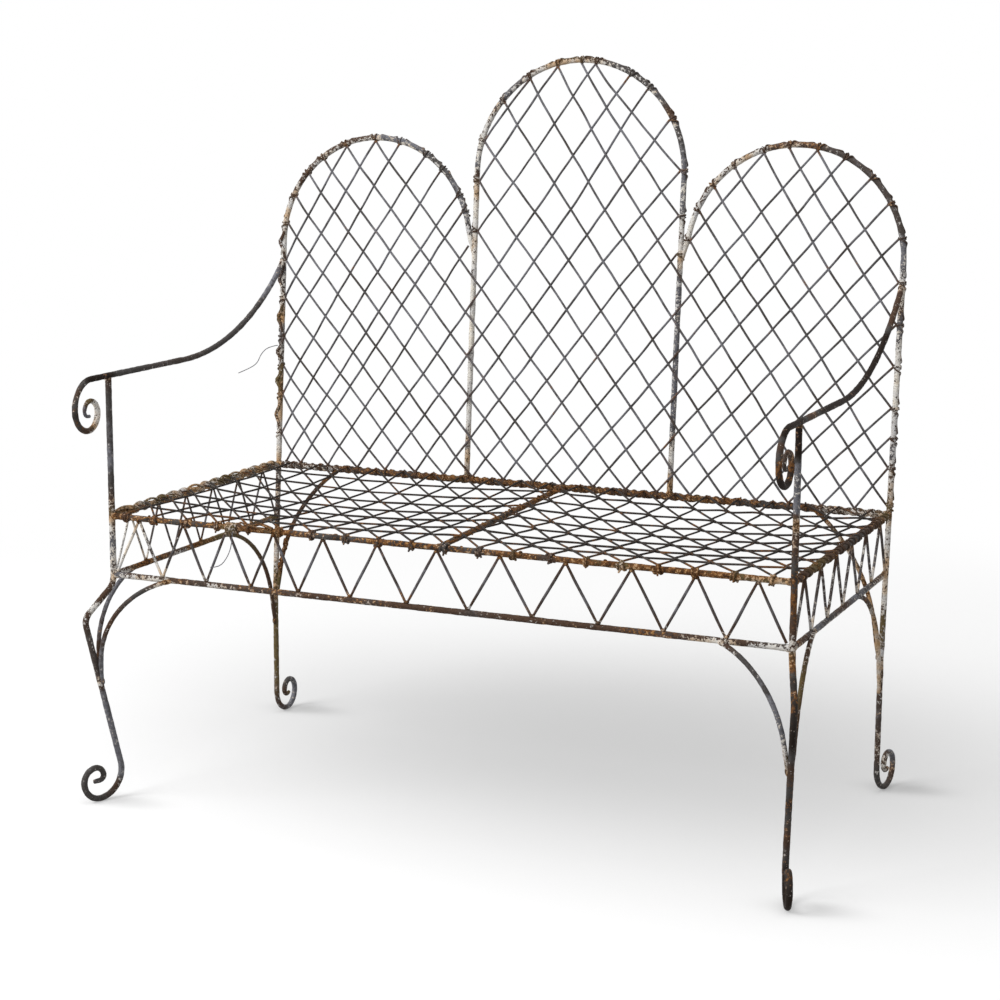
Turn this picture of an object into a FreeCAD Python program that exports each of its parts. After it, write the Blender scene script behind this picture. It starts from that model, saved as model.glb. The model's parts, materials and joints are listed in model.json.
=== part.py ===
import FreeCAD, Part
import math
import os

# Garden bench bent from round iron rod, with wire laid by hand in its back and seat.
# Millimetres, +Z up, front towards -Y, the origin on the ground under the middle.

SIZES = [
    ("seat_width", "1062", "between the axes of the front posts"),
    ("seat_depth", "510", "between the axes of the front and rear seat rails"),
    ("seat_setback", "16.1", "middle of the seat behind the middle of the whole bench"),
    ("seat_height", "440", "axis of the seat rails above the ground"),
    ("apron_drop", "90", "from the seat rails down to the apron rails"),
    ("arm_height", "653", "axis of the flat run of the arms"),
    ("rod_diameter", "10", "posts, legs, arms and arches"),
    ("rail_diameter", "9", "seat rails, apron rails and cross rod"),
    ("brace_diameter", "7", "curved braces"),
    ("zigzag_diameter", "3.2", "zigzag wire of the apron"),
    ("mesh_diameter", "2.8", "wire of the back and seat"),
    ("wrap_diameter", "2.2", "wire wrapped round the rods"),
    ("tail_diameter", "1.4", "loose wire tails"),
    ("weld_gap", "0.1", "left for the weld where rods meet"),
    ("lay_gap", "0.1", "between wires that lie on one another"),
    ("back_rake", "4.5", "degrees that the back leans from upright"),
    ("centre_half_width", "177", "middle of the back to a leg of the centre arch"),
    ("centre_spring", "505", "rear rail to the spring of the centre arch, along the back"),
    ("side_spring", "383", "rear rail to the spring of the side arches, along the back"),
    ("arch_tail", "12", "straight end of a side arch beside the centre arch"),
    ("arm_bend_radius", "460", "long curve of the arm"),
    ("arm_bend_angle", "45", "degrees that the arm turns in that curve"),
    ("arm_overhang", "45", "flat run of the arm in front of its post"),
    ("arm_scroll_radius", "43", "first quarter of the arm's scroll"),
    ("scroll_ratio", "0.76", "each quarter of a scroll to the one before"),
    ("leg_splay", "21", "degrees that the front legs point away from straight ahead"),
    ("hip_radius", "30", "bend of the front leg under the apron"),
    ("hip_angle", "50", "degrees that the front leg turns outward there"),
    ("thigh_length", "46", "straight run from hip to knee"),
    ("knee_radius", "20", "bend of the front leg at the knee"),
    ("shin_angle", "14", "degrees that the front leg comes back in below the knee"),
    ("front_foot_radius", "40", "first quarter of the front foot's scroll"),
    ("rear_bend_height", "215", "where the rear leg turns upright"),
    ("rear_bend_radius", "150", "bend of the rear leg there"),
    ("rear_foot_radius", "36", "first quarter of the rear foot's scroll"),
    ("foot_flat", "0.5", "worn off the underside of each foot"),
    ("brace_foot", "185", "height where the front leg's braces end"),
    ("front_brace_reach", "106", "from the post along the front apron rail"),
    ("side_brace_reach", "110", "from the post along the side apron rail"),
    ("rear_side_brace_foot", "165", "height where the rear leg's side brace ends"),
    ("rear_side_brace_reach", "190", "from the rear leg along the side apron rail"),
    ("rear_brace_foot", "215", "height where the rear leg's rear brace ends"),
    ("rear_brace_reach", "119", "from the upright along the rear seat rail"),
    ("brace_tail", "12", "straight end of a brace beside its leg"),
    ("front_triangles", "12", "zigzag triangles in the front apron"),
    ("side_triangles", "6", "zigzag triangles in a side apron"),
    ("zigzag_drift", "0.114", "how far the front triangles widen to the right"),
    ("zigzag_lean", "0.074", "how far the front triangles crowd to the left of their middle"),
    ("zigzag_bend", "4", "bend of the zigzag wire"),
    ("cross_front", "12", "cross rod from the middle at the front rail"),
    ("cross_lean", "17", "cross rod shifts this far towards the rear rail"),
    ("cross_gap", "0.3", "left for the weld at each slanted end of the cross rod"),
    ("seat_columns", "20", "mesh points along the front seat rail"),
    ("seat_rows", "8", "spaces between the lengthwise seat wires"),
    ("rise_pitch", "53.2", "rising back wires along the rear rail"),
    ("rise_shift", "-5.7", "middle rising wire from the middle of the rear rail"),
    ("rise_first", "-20", "height of the first rising wire on the left upright"),
    ("rise_step", "71", "rising wires up the left upright"),
    ("rise_left", "1.55", "slope of the rising wires in the left arch"),
    ("rise_centre", "1.345", "slope of the rising wires in the centre arch"),
    ("rise_right", "1.12", "slope of the rising wires in the right arch"),
    ("rise_fan", "0.011", "how fast the slope grows up the left upright"),
    ("fall_pitch", "54", "falling back wires along the rear rail"),
    ("fall_first", "7", "height of the first falling wire on the right upright"),
    ("fall_step", "66", "falling wires up the right upright"),
    ("fall_left", "1.14", "slope of the falling wires in the left arch"),
    ("fall_centre", "1.13", "slope of the falling wires in the centre arch"),
    ("fall_right", "1.36", "slope of the falling wires in the right arch"),
    ("fall_spread", "0.035", "how the slope in the centre arch grows per wire to the right"),
    ("fall_fan", "0.009", "how fast the slope grows up the right upright"),
    ("mesh_bend", "20", "bend of a back wire where it crosses a centre leg"),
    ("wrap_turns", "1.5", "turns of each wire wrap"),
    ("wrap_space", "0.5", "between the turns of a wrap"),
    ("wrap_reach", "9", "one wrap serves the wire ends within this length"),
    ("tail_bend", "4", "least bend of a loose tail"),
]

V = FreeCAD.Vector
X, Y, Z = V(1, 0, 0), V(0, 1, 0), V(0, 0, 1)

doc = FreeCAD.newDocument("garden_bench")
sheet = doc.addObject("Spreadsheet::Sheet", "Sizes")
for row, (alias, value, meaning) in enumerate(SIZES, start=1):
    sheet.set(f"A{row}", meaning)
    sheet.set(f"B{row}", value)
    sheet.setAlias(f"B{row}", alias)
doc.recompute()


def size(alias):
    return float(sheet.get(alias))


half_width = size("seat_width") / 2
front_y = size("seat_setback") - size("seat_depth") / 2
rear_y = size("seat_setback") + size("seat_depth") / 2
seat_height = size("seat_height")
apron_height = seat_height - size("apron_drop")
rod_radius = size("rod_diameter") / 2
rail_radius = size("rail_diameter") / 2
brace_radius = size("brace_diameter") / 2
zigzag_radius = size("zigzag_diameter") / 2
mesh_radius = size("mesh_diameter") / 2
wrap_diameter = size("wrap_diameter")
weld_gap = size("weld_gap")
lay_gap = size("lay_gap")
rake = math.radians(size("back_rake"))
centre_half = size("centre_half_width")
centre_spring = size("centre_spring")
side_spring = size("side_spring")
side_inner = centre_half + 2 * rod_radius + weld_gap
side_radius = (half_width - side_inner) / 2
side_centre = (half_width + side_inner) / 2

UP_BACK = V(0, math.sin(rake), math.cos(rake))
OFF_BACK = V(0, -math.cos(rake), math.sin(rake))


def back_point(x, height, lift=0):
    """A point of the raked back: height along it from the rear rail, lift in front of it."""
    return V(x, rear_y, seat_height) + UP_BACK * height + OFF_BACK * lift


def upright_depth(z):
    """How far back the axis of an outer upright or rear leg is at a height above the ground."""
    z = max(z, size("rear_bend_height"))
    return rear_y + (z - seat_height) * math.tan(rake)


class Bender:
    """A rod on the bending jig: straight runs and bends, each tangent to the one before."""

    def __init__(self, start, heading):
        self.point = start
        self.heading = V(heading).normalize()
        self.edges = []

    def run(self, length):
        end = self.point + self.heading * length
        self.edges.append(Part.LineSegment(self.point, end).toShape())
        self.point = end

    def bend(self, radius, degrees, axis):
        centre = self.point + axis.cross(self.heading) * radius
        spoke = self.point - centre
        middle = centre + FreeCAD.Rotation(axis, degrees / 2).multVec(spoke)
        end = centre + FreeCAD.Rotation(axis, degrees).multVec(spoke)
        self.edges.append(Part.Arc(self.point, middle, end).toShape())
        self.point = end
        self.heading = FreeCAD.Rotation(axis, degrees).multVec(self.heading)

    def curl(self, radius, turns, axis):
        """A scroll: bends that each tighten by the same ratio."""
        for degrees in turns:
            self.bend(radius, degrees, axis)
            radius *= size("scroll_ratio")


def tangent_arc(start, end, end_heading):
    """An arc from start that reaches end along end_heading."""
    chord = end - start
    along = V(chord).normalize()
    side = end_heading - along * along.dot(end_heading)
    half_turn = math.atan2(side.Length, along.dot(end_heading))
    sagitta = chord.Length / 2 * math.tan(half_turn / 2)
    middle = (start + end) / 2 - side.normalize() * sagitta
    return Part.Arc(start, middle, end).toShape()


def rounded_edges(points, radius):
    """Straight runs between the points, with each corner rounded to a radius."""
    edges = []
    start = points[0]
    for before, corner, after in zip(points, points[1:], points[2:]):
        back = (before - corner).normalize()
        ahead = (after - corner).normalize()
        half_angle = back.getAngle(ahead) / 2
        setback = radius / math.tan(half_angle)
        middle_reach = radius / math.sin(half_angle) - radius
        arc_start = corner + back * setback
        arc_end = corner + ahead * setback
        edges.append(Part.LineSegment(start, arc_start).toShape())
        middle = corner + (back + ahead).normalize() * middle_reach
        edges.append(Part.Arc(arc_start, middle, arc_end).toShape())
        start = arc_end
    edges.append(Part.LineSegment(start, points[-1]).toShape())
    return edges


def wire_along(edges, radius):
    """A round wire along a path of tangent edges."""
    heading = edges[0].tangentAt(edges[0].FirstParameter)
    start = edges[0].valueAt(edges[0].FirstParameter)
    section = Part.Wire(Part.makeCircle(radius, start, heading))
    return Part.Wire(edges).makePipeShell([section], True, False)


def laid_wire(points, radius, bend):
    """A round wire through the points, straight or turned gently at its corners."""
    if len(points) == 2:
        run = points[1] - points[0]
        return Part.makeCylinder(radius, run.Length, points[0], run)
    return wire_along(rounded_edges(points, bend), radius)


nodes = []


def node(piece, name):
    """A finished piece, with the name of its file."""
    piece.Label = name
    nodes.append(piece)
    return piece


def swept_rod(name, edges, radius_size):
    """A rod along a bent path, with its radius bound to the sizes."""
    path = doc.addObject("Part::Feature", name + "_path")
    path.Shape = Part.Wire(edges)
    section = doc.addObject("Part::Circle", name + "_section")
    section.setExpression("Radius", radius_size)
    heading = edges[0].tangentAt(edges[0].FirstParameter)
    start = edges[0].valueAt(edges[0].FirstParameter)
    section.Placement = FreeCAD.Placement(start, FreeCAD.Rotation(Z, heading))
    rod = doc.addObject("Part::Sweep", name + "_rod")
    rod.Sections = [section]
    rod.Spine = (path, [f"Edge{i}" for i in range(1, len(edges) + 1)])
    rod.Solid = True
    return rod


def cut(name, base, tool):
    piece = doc.addObject("Part::Cut", name)
    piece.Base = base
    piece.Tool = tool
    return piece


def mirrored(name, source):
    """The same piece for the other end of the bench."""
    piece = doc.addObject("Part::Mirroring", name)
    piece.Source = source
    piece.Normal = X
    piece.Base = V(0, 0, 0)
    return piece


def group(name, solids):
    """Separate solids that share one node."""
    piece = doc.addObject("Part::Feature", name)
    piece.Shape = Part.makeCompound(solids)
    return node(piece, name)


ROD = "Sizes.rod_diameter / 2"
RAIL = "Sizes.rail_diameter / 2"
BRACE = "Sizes.brace_diameter / 2"
GAP = "Sizes.weld_gap"

# Ground plane that wears the feet flat.
ground = doc.addObject("Part::Box", "ground")
ground.setExpression("Length", "2 * Sizes.seat_width")
ground.setExpression("Width", "3 * Sizes.seat_depth")
ground.setExpression("Height", "Sizes.rod_diameter")
ground.setExpression("Placement.Base.x", "-Sizes.seat_width")
ground.setExpression("Placement.Base.y", "-1.5 * Sizes.seat_depth")
ground.setExpression("Placement.Base.z", "-Sizes.rod_diameter")
foot_axis = rod_radius - size("foot_flat")

# Front posts: arm, seat corner, apron corner, knee and scroll foot in one rod.
splay = math.radians(size("leg_splay"))
outward = V(-math.sin(splay), -math.cos(splay), 0)
outward_axis = V(outward.y, -outward.x, 0)
shin = math.radians(size("shin_angle"))
hip_out = math.radians(size("hip_angle"))

post = Bender(V(-half_width, front_y, size("arm_height") - rod_radius - weld_gap), -Z)
post.run(post.point.z - apron_height)
post.bend(size("hip_radius"), size("hip_angle"), outward_axis)
post.run(size("thigh_length"))
post.bend(size("knee_radius"), size("hip_angle") + size("shin_angle"), -outward_axis)
knee_end = post.point
shin_heading = post.heading
shin_drop = knee_end.z - foot_axis - size("front_foot_radius") * (1 + math.sin(shin))
post.run(shin_drop / math.cos(shin))
post.curl(size("front_foot_radius"), [90 + size("shin_angle"), 90, 90, 90, 80], outward_axis)
post_rod = swept_rod("front_post_left", post.edges, ROD)
post_left = node(cut("front_post_left", post_rod, ground), "front_post_left")
node(mirrored("front_post_right", post_left), "front_post_right")

# Side arches: inner end, arch, raked upright, rear leg and scroll foot in one rod.
arch = Bender(back_point(-side_inner, side_spring - size("arch_tail")), UP_BACK)
arch.run(size("arch_tail"))
arch.bend(side_radius, 180, OFF_BACK)
half_bend = size("rear_bend_radius") * math.tan(rake / 2)
upright_run = side_spring + (seat_height - size("rear_bend_height")) / math.cos(rake)
arch.run(upright_run - half_bend)
arch.bend(size("rear_bend_radius"), size("back_rake"), X)
arch.run(arch.point.z - foot_axis - size("rear_foot_radius"))
arch.curl(size("rear_foot_radius"), [90, 90, 90, 90, 70], X)
arch_rod = swept_rod("back_arch_left", arch.edges, ROD)
arch_left = node(cut("back_arch_left", arch_rod, ground), "back_arch_left")
node(mirrored("back_arch_right", arch_left), "back_arch_right")

# Centre arch, both ends standing on the rear seat rail.
centre = Bender(back_point(-centre_half, rail_radius + weld_gap), UP_BACK)
leg_run = centre_spring - rail_radius - weld_gap
centre.run(leg_run)
centre.bend(centre_half, 180, -OFF_BACK)
centre.run(leg_run)
node(swept_rod("back_arch_centre", centre.edges, ROD), "back_arch_centre")

# Arms: from the upright down a long curve to the flat run over the post, then a scroll.
arm_turn = math.radians(size("arm_bend_angle"))
arm_top = size("arm_height") + size("arm_bend_radius") * (1 - math.cos(arm_turn))
arm_start = V(-half_width, upright_depth(arm_top), arm_top)
arm = Bender(arm_start, V(0, -math.cos(arm_turn), -math.sin(arm_turn)))
arm.bend(size("arm_bend_radius"), size("arm_bend_angle"), -X)
arm.run(arm.point.y - front_y + size("arm_overhang"))
arm.curl(size("arm_scroll_radius"), [90, 90, 90, 90, 90, 60], X)
arm_rod = swept_rod("arm_left", arm.edges, ROD)
upright_tool = swept_rod("arm_left_cope", arch.edges, f"{ROD} + {GAP}")
arm_left = node(cut("arm_left", arm_rod, upright_tool), "arm_left")
node(mirrored("arm_right", arm_left), "arm_right")


def straight_rail(name, axis, start, length):
    """A straight rail bound to the sizes: its axis, and expressions for its start and length."""
    rail = doc.addObject("Part::Cylinder", name)
    rail.Placement = FreeCAD.Placement(V(0, 0, 0), FreeCAD.Rotation(Z, axis))
    rail.setExpression("Radius", RAIL)
    rail.setExpression("Height", length)
    for letter, expression in zip("xyz", start):
        rail.setExpression(f"Placement.Base.{letter}", expression)
    return node(rail, name)


# Seat rails, cross rod and apron rails, each butted between the rods that it joins.
HALF_WIDTH = "Sizes.seat_width / 2"
FRONT = "Sizes.seat_setback - Sizes.seat_depth / 2"
REAR = "Sizes.seat_setback + Sizes.seat_depth / 2"
SEAT = "Sizes.seat_height"
APRON = "Sizes.seat_height - Sizes.apron_drop"
BUTT = f"({ROD} + {GAP})"
RAKED_BUTT = f"({ROD} / cos(Sizes.back_rake * 1 deg) + {GAP})"
ACROSS = f"Sizes.seat_width - 2 * {BUTT}"
SEAT_SIDE = f"Sizes.seat_depth - {BUTT} - {RAKED_BUTT}"
APRON_SIDE = f"{SEAT_SIDE} - Sizes.apron_drop * tan(Sizes.back_rake * 1 deg)"
LEFT_END = f"-{HALF_WIDTH} + {BUTT}"
FRONT_END = f"{FRONT} + {BUTT}"

straight_rail("seat_front_rail", X, (LEFT_END, FRONT, SEAT), ACROSS)
straight_rail("seat_rear_rail", X, (LEFT_END, REAR, SEAT), ACROSS)
straight_rail("apron_front_rail", X, (LEFT_END, FRONT, APRON), ACROSS)
for side, sign in (("left", "-"), ("right", "")):
    end = f"{sign}{HALF_WIDTH}"
    straight_rail(f"seat_{side}_rail", Y, (end, FRONT_END, SEAT), SEAT_SIDE)
    straight_rail(f"apron_{side}_rail", Y, (end, FRONT_END, APRON), APRON_SIDE)
CROSS_END = f"{FRONT} + {RAIL} + Sizes.cross_gap"
CROSS_RUN = f"Sizes.seat_depth - 2 * ({RAIL} + Sizes.cross_gap)"
cross_axis = V(-size("cross_lean"), size("seat_depth"), 0)
straight_rail("seat_cross_rod", cross_axis, ("Sizes.cross_front", CROSS_END, SEAT), CROSS_RUN)

# Braces: an arc from a rail that comes down beside a leg, and a short end along it.
beside = rod_radius + brace_radius + weld_gap


def brace(name, rail_axis, rail_direction, leg_point, leg_heading):
    """A brace coped to its rail, with its foot beside the leg."""
    tail_start = leg_point - leg_heading * size("brace_tail")
    edges = [tangent_arc(rail_axis, tail_start, leg_heading)]
    edges.append(Part.LineSegment(tail_start, leg_point).toShape())
    rod = swept_rod(name, edges, BRACE)
    tool = doc.addObject("Part::Cylinder", name + "_cope")
    tool.setExpression("Radius", f"{RAIL} + {GAP}")
    tool.setExpression("Height", "Sizes.rear_side_brace_reach")
    start = rail_axis - rail_direction * (size("rear_side_brace_reach") / 2)
    tool.Placement = FreeCAD.Placement(start, FreeCAD.Rotation(Z, rail_direction))
    return node(cut(name, rod, tool), name)


shin_foot = knee_end + shin_heading * ((knee_end.z - size("brace_foot")) / math.cos(shin))
shin_foot_x = (X - shin_heading * shin_heading.dot(X)).normalize() * beside
shin_foot_y = (Y - shin_heading * shin_heading.dot(Y)).normalize() * beside
apron_front = V(size("front_brace_reach") - half_width, front_y, apron_height)
apron_side = V(-half_width, front_y + size("side_brace_reach"), apron_height)
rear_foot = V(-half_width, upright_depth(0), size("rear_brace_foot"))
rear_side_foot = V(-half_width, upright_depth(0), size("rear_side_brace_foot"))
apron_rear = V(-half_width, upright_depth(apron_height) - size("rear_side_brace_reach"), apron_height)
seat_rear = V(size("rear_brace_reach") - half_width, rear_y, seat_height)

for name, rail_axis, direction, foot, heading in (
    ("front_brace_left", apron_front, X, shin_foot + shin_foot_x, shin_heading),
    ("side_brace_left", apron_side, Y, shin_foot + shin_foot_y, shin_heading),
    ("rear_side_brace_left", apron_rear, Y, rear_side_foot - Y * beside, -Z),
    ("rear_brace_left", seat_rear, X, rear_foot + X * beside, -Z),
):
    left = brace(name, rail_axis, direction, foot, heading)
    right_name = name.replace("left", "right")
    node(mirrored(right_name, left), right_name)

# Zigzag wires, bent so that each turn touches the seat rail or the apron rail.
zigzag_seat = rail_radius + zigzag_radius + weld_gap


def zigzag_places(span, triangles, drift, lean):
    """Distances of the corners along a zigzag, closer together at its start if it drifts."""
    places = []
    for corner in range(2 * triangles + 1):
        share = corner / (2 * triangles)
        turn = 2 * math.pi * share
        lag = (drift * (1 - math.cos(turn)) + lean * math.sin(turn)) / (2 * math.pi)
        places.append(span * (share - lag))
    return places


def zigzag_points(start, direction, places):
    """Corners of a zigzag between the apron and seat rails, with each bend on its rail."""
    drop = size("apron_drop") - 2 * zigzag_seat
    points = [start + direction * places[0] + Z * zigzag_seat]
    for corner in range(1, len(places) - 1):
        half_angle = math.atan2((places[corner + 1] - places[corner - 1]) / 2, drop)
        overshoot = size("zigzag_bend") * (1 / math.sin(half_angle) - 1)
        lift = zigzag_seat - overshoot
        if corner % 2:
            lift = size("apron_drop") - zigzag_seat + overshoot
        points.append(start + direction * places[corner] + Z * lift)
    return points + [start + direction * places[-1] + Z * zigzag_seat]


def zigzag(name, start, direction, places):
    edges = rounded_edges(zigzag_points(start, direction, places), size("zigzag_bend"))
    node(swept_rod(name, edges, "Sizes.zigzag_diameter / 2"), name)


zigzag_end = rod_radius + 2 * zigzag_radius
front_span = 2 * (half_width - zigzag_end)
front_places = zigzag_places(
    front_span, round(size("front_triangles")), size("zigzag_drift"), size("zigzag_lean"))
zigzag("zigzag_front", V(-front_span / 2, front_y, apron_height), X, front_places)
side_start = front_y + zigzag_end
side_span = upright_depth(apron_height) - zigzag_end - side_start
side_places = zigzag_places(side_span, round(size("side_triangles")), 0, 0)
for side, x in (("left", -half_width), ("right", half_width)):
    zigzag(f"zigzag_{side}", V(x, side_start, apron_height), Y, side_places)


# Wire wraps: one and a half turns round a rod, beside or under a wire end.
def helix_point(radius, pitch, turn):
    angle = 2 * math.pi * turn
    return V(radius * math.cos(angle), radius * math.sin(angle), pitch * turn)


def helix_heading(radius, pitch, turn):
    angle = 2 * math.pi * turn
    slope = pitch / (2 * math.pi * radius)
    return V(-math.sin(angle), math.cos(angle), slope).normalize()


def biarc(start, start_heading, end, end_heading):
    """Two arcs from start to end that keep both headings."""
    chord = end - start
    both = start_heading + end_heading
    spread = 2 * (1 - start_heading.dot(end_heading))
    reach = (math.sqrt(chord.dot(both) ** 2 + spread * chord.dot(chord)) - chord.dot(both)) / spread
    join = (start + start_heading * reach + end - end_heading * reach) / 2
    first = tangent_arc(join, start, -start_heading)
    second = tangent_arc(join, end, end_heading)
    first_middle = first.valueAt((first.FirstParameter + first.LastParameter) / 2)
    return [Part.Arc(start, first_middle, join).toShape(), second]


def wrap(rod_around):
    """A wire wrap about the Z axis, its middle turn at the origin."""
    radius = rod_around + lay_gap + wrap_diameter / 2
    pitch = wrap_diameter + size("wrap_space")
    quarters = round(4 * size("wrap_turns"))
    edges = []
    for quarter in range(quarters):
        start, end = quarter / 4, (quarter + 1) / 4
        edges += biarc(helix_point(radius, pitch, start), helix_heading(radius, pitch, start),
                       helix_point(radius, pitch, end), helix_heading(radius, pitch, end))
    tube = wire_along(edges, wrap_diameter / 2)
    tube.translate(V(0, 0, -pitch * quarters / 8))
    points = [helix_point(radius, pitch, step / 72) for step in range(18 * quarters + 1)]
    gaps = [(a - b).Length - wrap_diameter for i, a in enumerate(points) for b in points[i + 36:]]
    print(f"wrap round {2 * rod_around:g} mm rod: least gap to itself {min(gaps):.2f} mm")
    return tube


wrap_half = (wrap_diameter + size("wrap_space")) * size("wrap_turns") / 2 + wrap_diameter / 2
wraps = {rod_radius: wrap(rod_radius), rail_radius: wrap(rail_radius)}


def wrap_group(name, seats, rod_around):
    """Wraps at the seats of one rod, each a place on its axis and the heading of the rod there."""
    placed = []
    for place, heading in seats:
        if all((place - other).Length > size("wrap_reach") for other, _ in placed):
            placed.append((place, heading))
    solids = []
    for place, heading in placed:
        solid = wraps[rod_around].copy()
        solid.Placement = FreeCAD.Placement(place, FreeCAD.Rotation(Z, heading))
        solids.append(solid)
    group(name, solids)
    return [place for place, _ in placed]


# Back mesh: straight wires that rise one way and fall the other, the second set on the first.
rise_lift = rod_radius + lay_gap + mesh_radius
fall_lift = rise_lift + 2 * mesh_radius + lay_gap
wrap_outside = rod_radius + 2 * lay_gap + wrap_diameter
end_margin = math.sqrt((wrap_outside + mesh_radius) ** 2 - rise_lift ** 2)
back_top = centre_spring + centre_half


def inside_back(x, height):
    """Whether a wire at this place is inside the three arches, clear of the wraps on them."""
    if height < end_margin or abs(x) > half_width - end_margin:
        return False
    if abs(x) < centre_half - end_margin:
        return height < centre_spring or math.hypot(x, height - centre_spring) < centre_half - end_margin
    if height < side_spring:
        return True
    return math.hypot(abs(x) - side_centre, height - side_spring) < side_radius - end_margin


def lane(x, height, slopes, way):
    """Corners of a wire laid upwards, way +1 to the right or -1 to the left, turning at each leg."""
    corners = [(x, height)]
    legs = [-centre_half * way, centre_half * way]
    for leg, slope in zip(legs + [None], slopes):
        if leg is None:
            corners.append((x + way * (back_top - height) / slope, back_top))
        elif (leg - x) * way > 0:
            height += (leg - x) * way * slope
            x = leg
            corners.append((x, height))
    return corners


def lane_x(corners, height):
    for (x1, low), (x2, high) in zip(corners, corners[1:]):
        if height <= high:
            return x1 + (x2 - x1) * (height - low) / (high - low)
    return corners[-1][0]


def edge_height(corners, low, high):
    """Height between low and high where a lane crosses the outline."""
    low_inside = inside_back(lane_x(corners, low), low)
    for _ in range(20):
        middle = (low + high) / 2
        if inside_back(lane_x(corners, middle), middle) == low_inside:
            low = middle
        else:
            high = middle
    return low if low_inside else high


def stretches(corners):
    """The parts of a lane inside the outline, each a list of places."""
    found = []
    step = mesh_radius
    height = corners[0][1]
    start = height if inside_back(*corners[0]) else None
    while height < back_top:
        ahead = height + step
        was = inside_back(lane_x(corners, height), height)
        now = inside_back(lane_x(corners, ahead), ahead)
        if now and not was:
            start = edge_height(corners, height, ahead)
        if was and not now:
            end = edge_height(corners, height, ahead)
            turns = [corner for corner in corners[1:-1] if start < corner[1] < end]
            found.append([(lane_x(corners, start), start)] + turns + [(lane_x(corners, end), end)])
        height = ahead
    return found


def rail_columns(pitch):
    """Numbers of the wires that start on the rear rail, counted from the middle."""
    count = int(half_width / pitch)
    return range(-count, count + 1)


def upright_steps(first, step):
    """Numbers and heights of the wires that start on an outer upright."""
    count = int((side_spring - first) / step)
    return [(number, first + number * step) for number in range(count + 1)]


rising = []
for column in rail_columns(size("rise_pitch")):
    slopes = [size("rise_left"), size("rise_centre"), size("rise_right")]
    rising += stretches(lane(size("rise_shift") + column * size("rise_pitch"), 0, slopes, 1))
for number, height in upright_steps(size("rise_first"), size("rise_step")):
    slopes = [size("rise_left") + size("rise_fan") * number ** 2, size("rise_centre"), size("rise_right")]
    rising += stretches(lane(-half_width, height, slopes, 1))

falling = []
for column in rail_columns(size("fall_pitch")):
    centre_slope = size("fall_centre") + size("fall_spread") * max(column, 0)
    slopes = [size("fall_right"), centre_slope, size("fall_left")]
    falling += stretches(lane(column * size("fall_pitch"), 0, slopes, -1))
for number, height in upright_steps(size("fall_first"), size("fall_step")):
    slopes = [size("fall_right") + size("fall_fan") * number ** 2, size("fall_centre"), size("fall_left")]
    falling += stretches(lane(half_width, height, slopes, -1))

back_sets = (("back_mesh_rising", rising, rise_lift), ("back_mesh_falling", falling, fall_lift))
for name, lanes, lift in back_sets:
    solids = []
    for stretch in lanes:
        points = [back_point(x, height, lift) for x, height in stretch]
        solids.append(laid_wire(points, mesh_radius, size("mesh_bend")))
    group(name, solids)

# Where each back wire ends on a rod, for its wrap.
notch_gap = wrap_diameter + 3 * lay_gap
arm_seat = (arm_top - seat_height) / math.cos(rake)
arm_clear = rod_radius / math.cos(arm_turn) + wrap_half + lay_gap
rail_clear = rail_radius + wrap_half + lay_gap


def clear_of_notch(height):
    """Whether a wrap fits between the centre arch and a side arch at this height."""
    rise = min(max(height - side_spring, 0), side_radius)
    return side_radius - math.sqrt(side_radius ** 2 - rise ** 2) + weld_gap > notch_gap


back_seats = {"left": [], "centre": [], "right": [], "rail": []}
for name, lanes, lift in back_sets:
    for x, height in [place for stretch in lanes for place in (stretch[0], stretch[-1])]:
        sign = math.copysign(1, x)
        side = "left" if x < 0 else "right"
        if height < 2 * end_margin:
            back_seats["rail"].append(x)
        elif abs(x) < centre_half and height > centre_spring:
            spoke = V(x, height - centre_spring, 0).normalize()
            place = back_point(spoke.x * centre_half, centre_spring + spoke.y * centre_half)
            back_seats["centre"].append((place, X * spoke.y - UP_BACK * spoke.x))
        elif abs(x) < centre_half:
            if clear_of_notch(height):
                back_seats["centre"].append((back_point(sign * centre_half, height), UP_BACK))
        elif height > side_spring:
            spoke = V(x - sign * side_centre, height - side_spring, 0).normalize()
            if sign * spoke.x > 0 or clear_of_notch(height):
                place_x = sign * side_centre + spoke.x * side_radius
                place = back_point(place_x, side_spring + spoke.y * side_radius)
                back_seats[side].append((place, X * spoke.y - UP_BACK * spoke.x))
        elif abs(height - arm_seat) > arm_clear and height > rail_clear:
            back_seats[side].append((back_point(sign * half_width, height), UP_BACK))
arch_wraps = {side: wrap_group(f"wraps_arch_{side}", back_seats[side], rod_radius)
              for side in ("left", "centre", "right")}

# Seat mesh: lengthwise wires on the rails, wires across them, and diagonals through the crossings.
long_lift = rail_radius + lay_gap + mesh_radius
layer = 2 * mesh_radius + lay_gap
rail_outside = rail_radius + 2 * lay_gap + wrap_diameter
seat_margin = math.sqrt((rail_outside + mesh_radius) ** 2 - long_lift ** 2)
columns = round(size("seat_columns")) // 2
column_pitch = half_width / columns
rows = round(size("seat_rows"))
row_pitch = size("seat_depth") / rows
row_places = [front_y + row * row_pitch for row in range(1, rows)]
seat_x = half_width - seat_margin
seat_front = front_y + seat_margin
seat_back = rear_y - seat_margin
long_wires = []
for y in row_places:
    ends = [V(-seat_x, y, seat_height + long_lift), V(seat_x, y, seat_height + long_lift)]
    long_wires.append(laid_wire(ends, mesh_radius, size("mesh_bend")))
group("seat_mesh_lengthwise", long_wires)

seat_places = [(column + 0.5) * column_pitch for column in range(-columns, columns)]
across_wires = []
for x in seat_places:
    ends = [V(x, y, seat_height + long_lift + layer) for y in (seat_front, seat_back)]
    across_wires.append(laid_wire(ends, mesh_radius, size("mesh_bend")))
group("seat_mesh_crosswise", across_wires)

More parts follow.
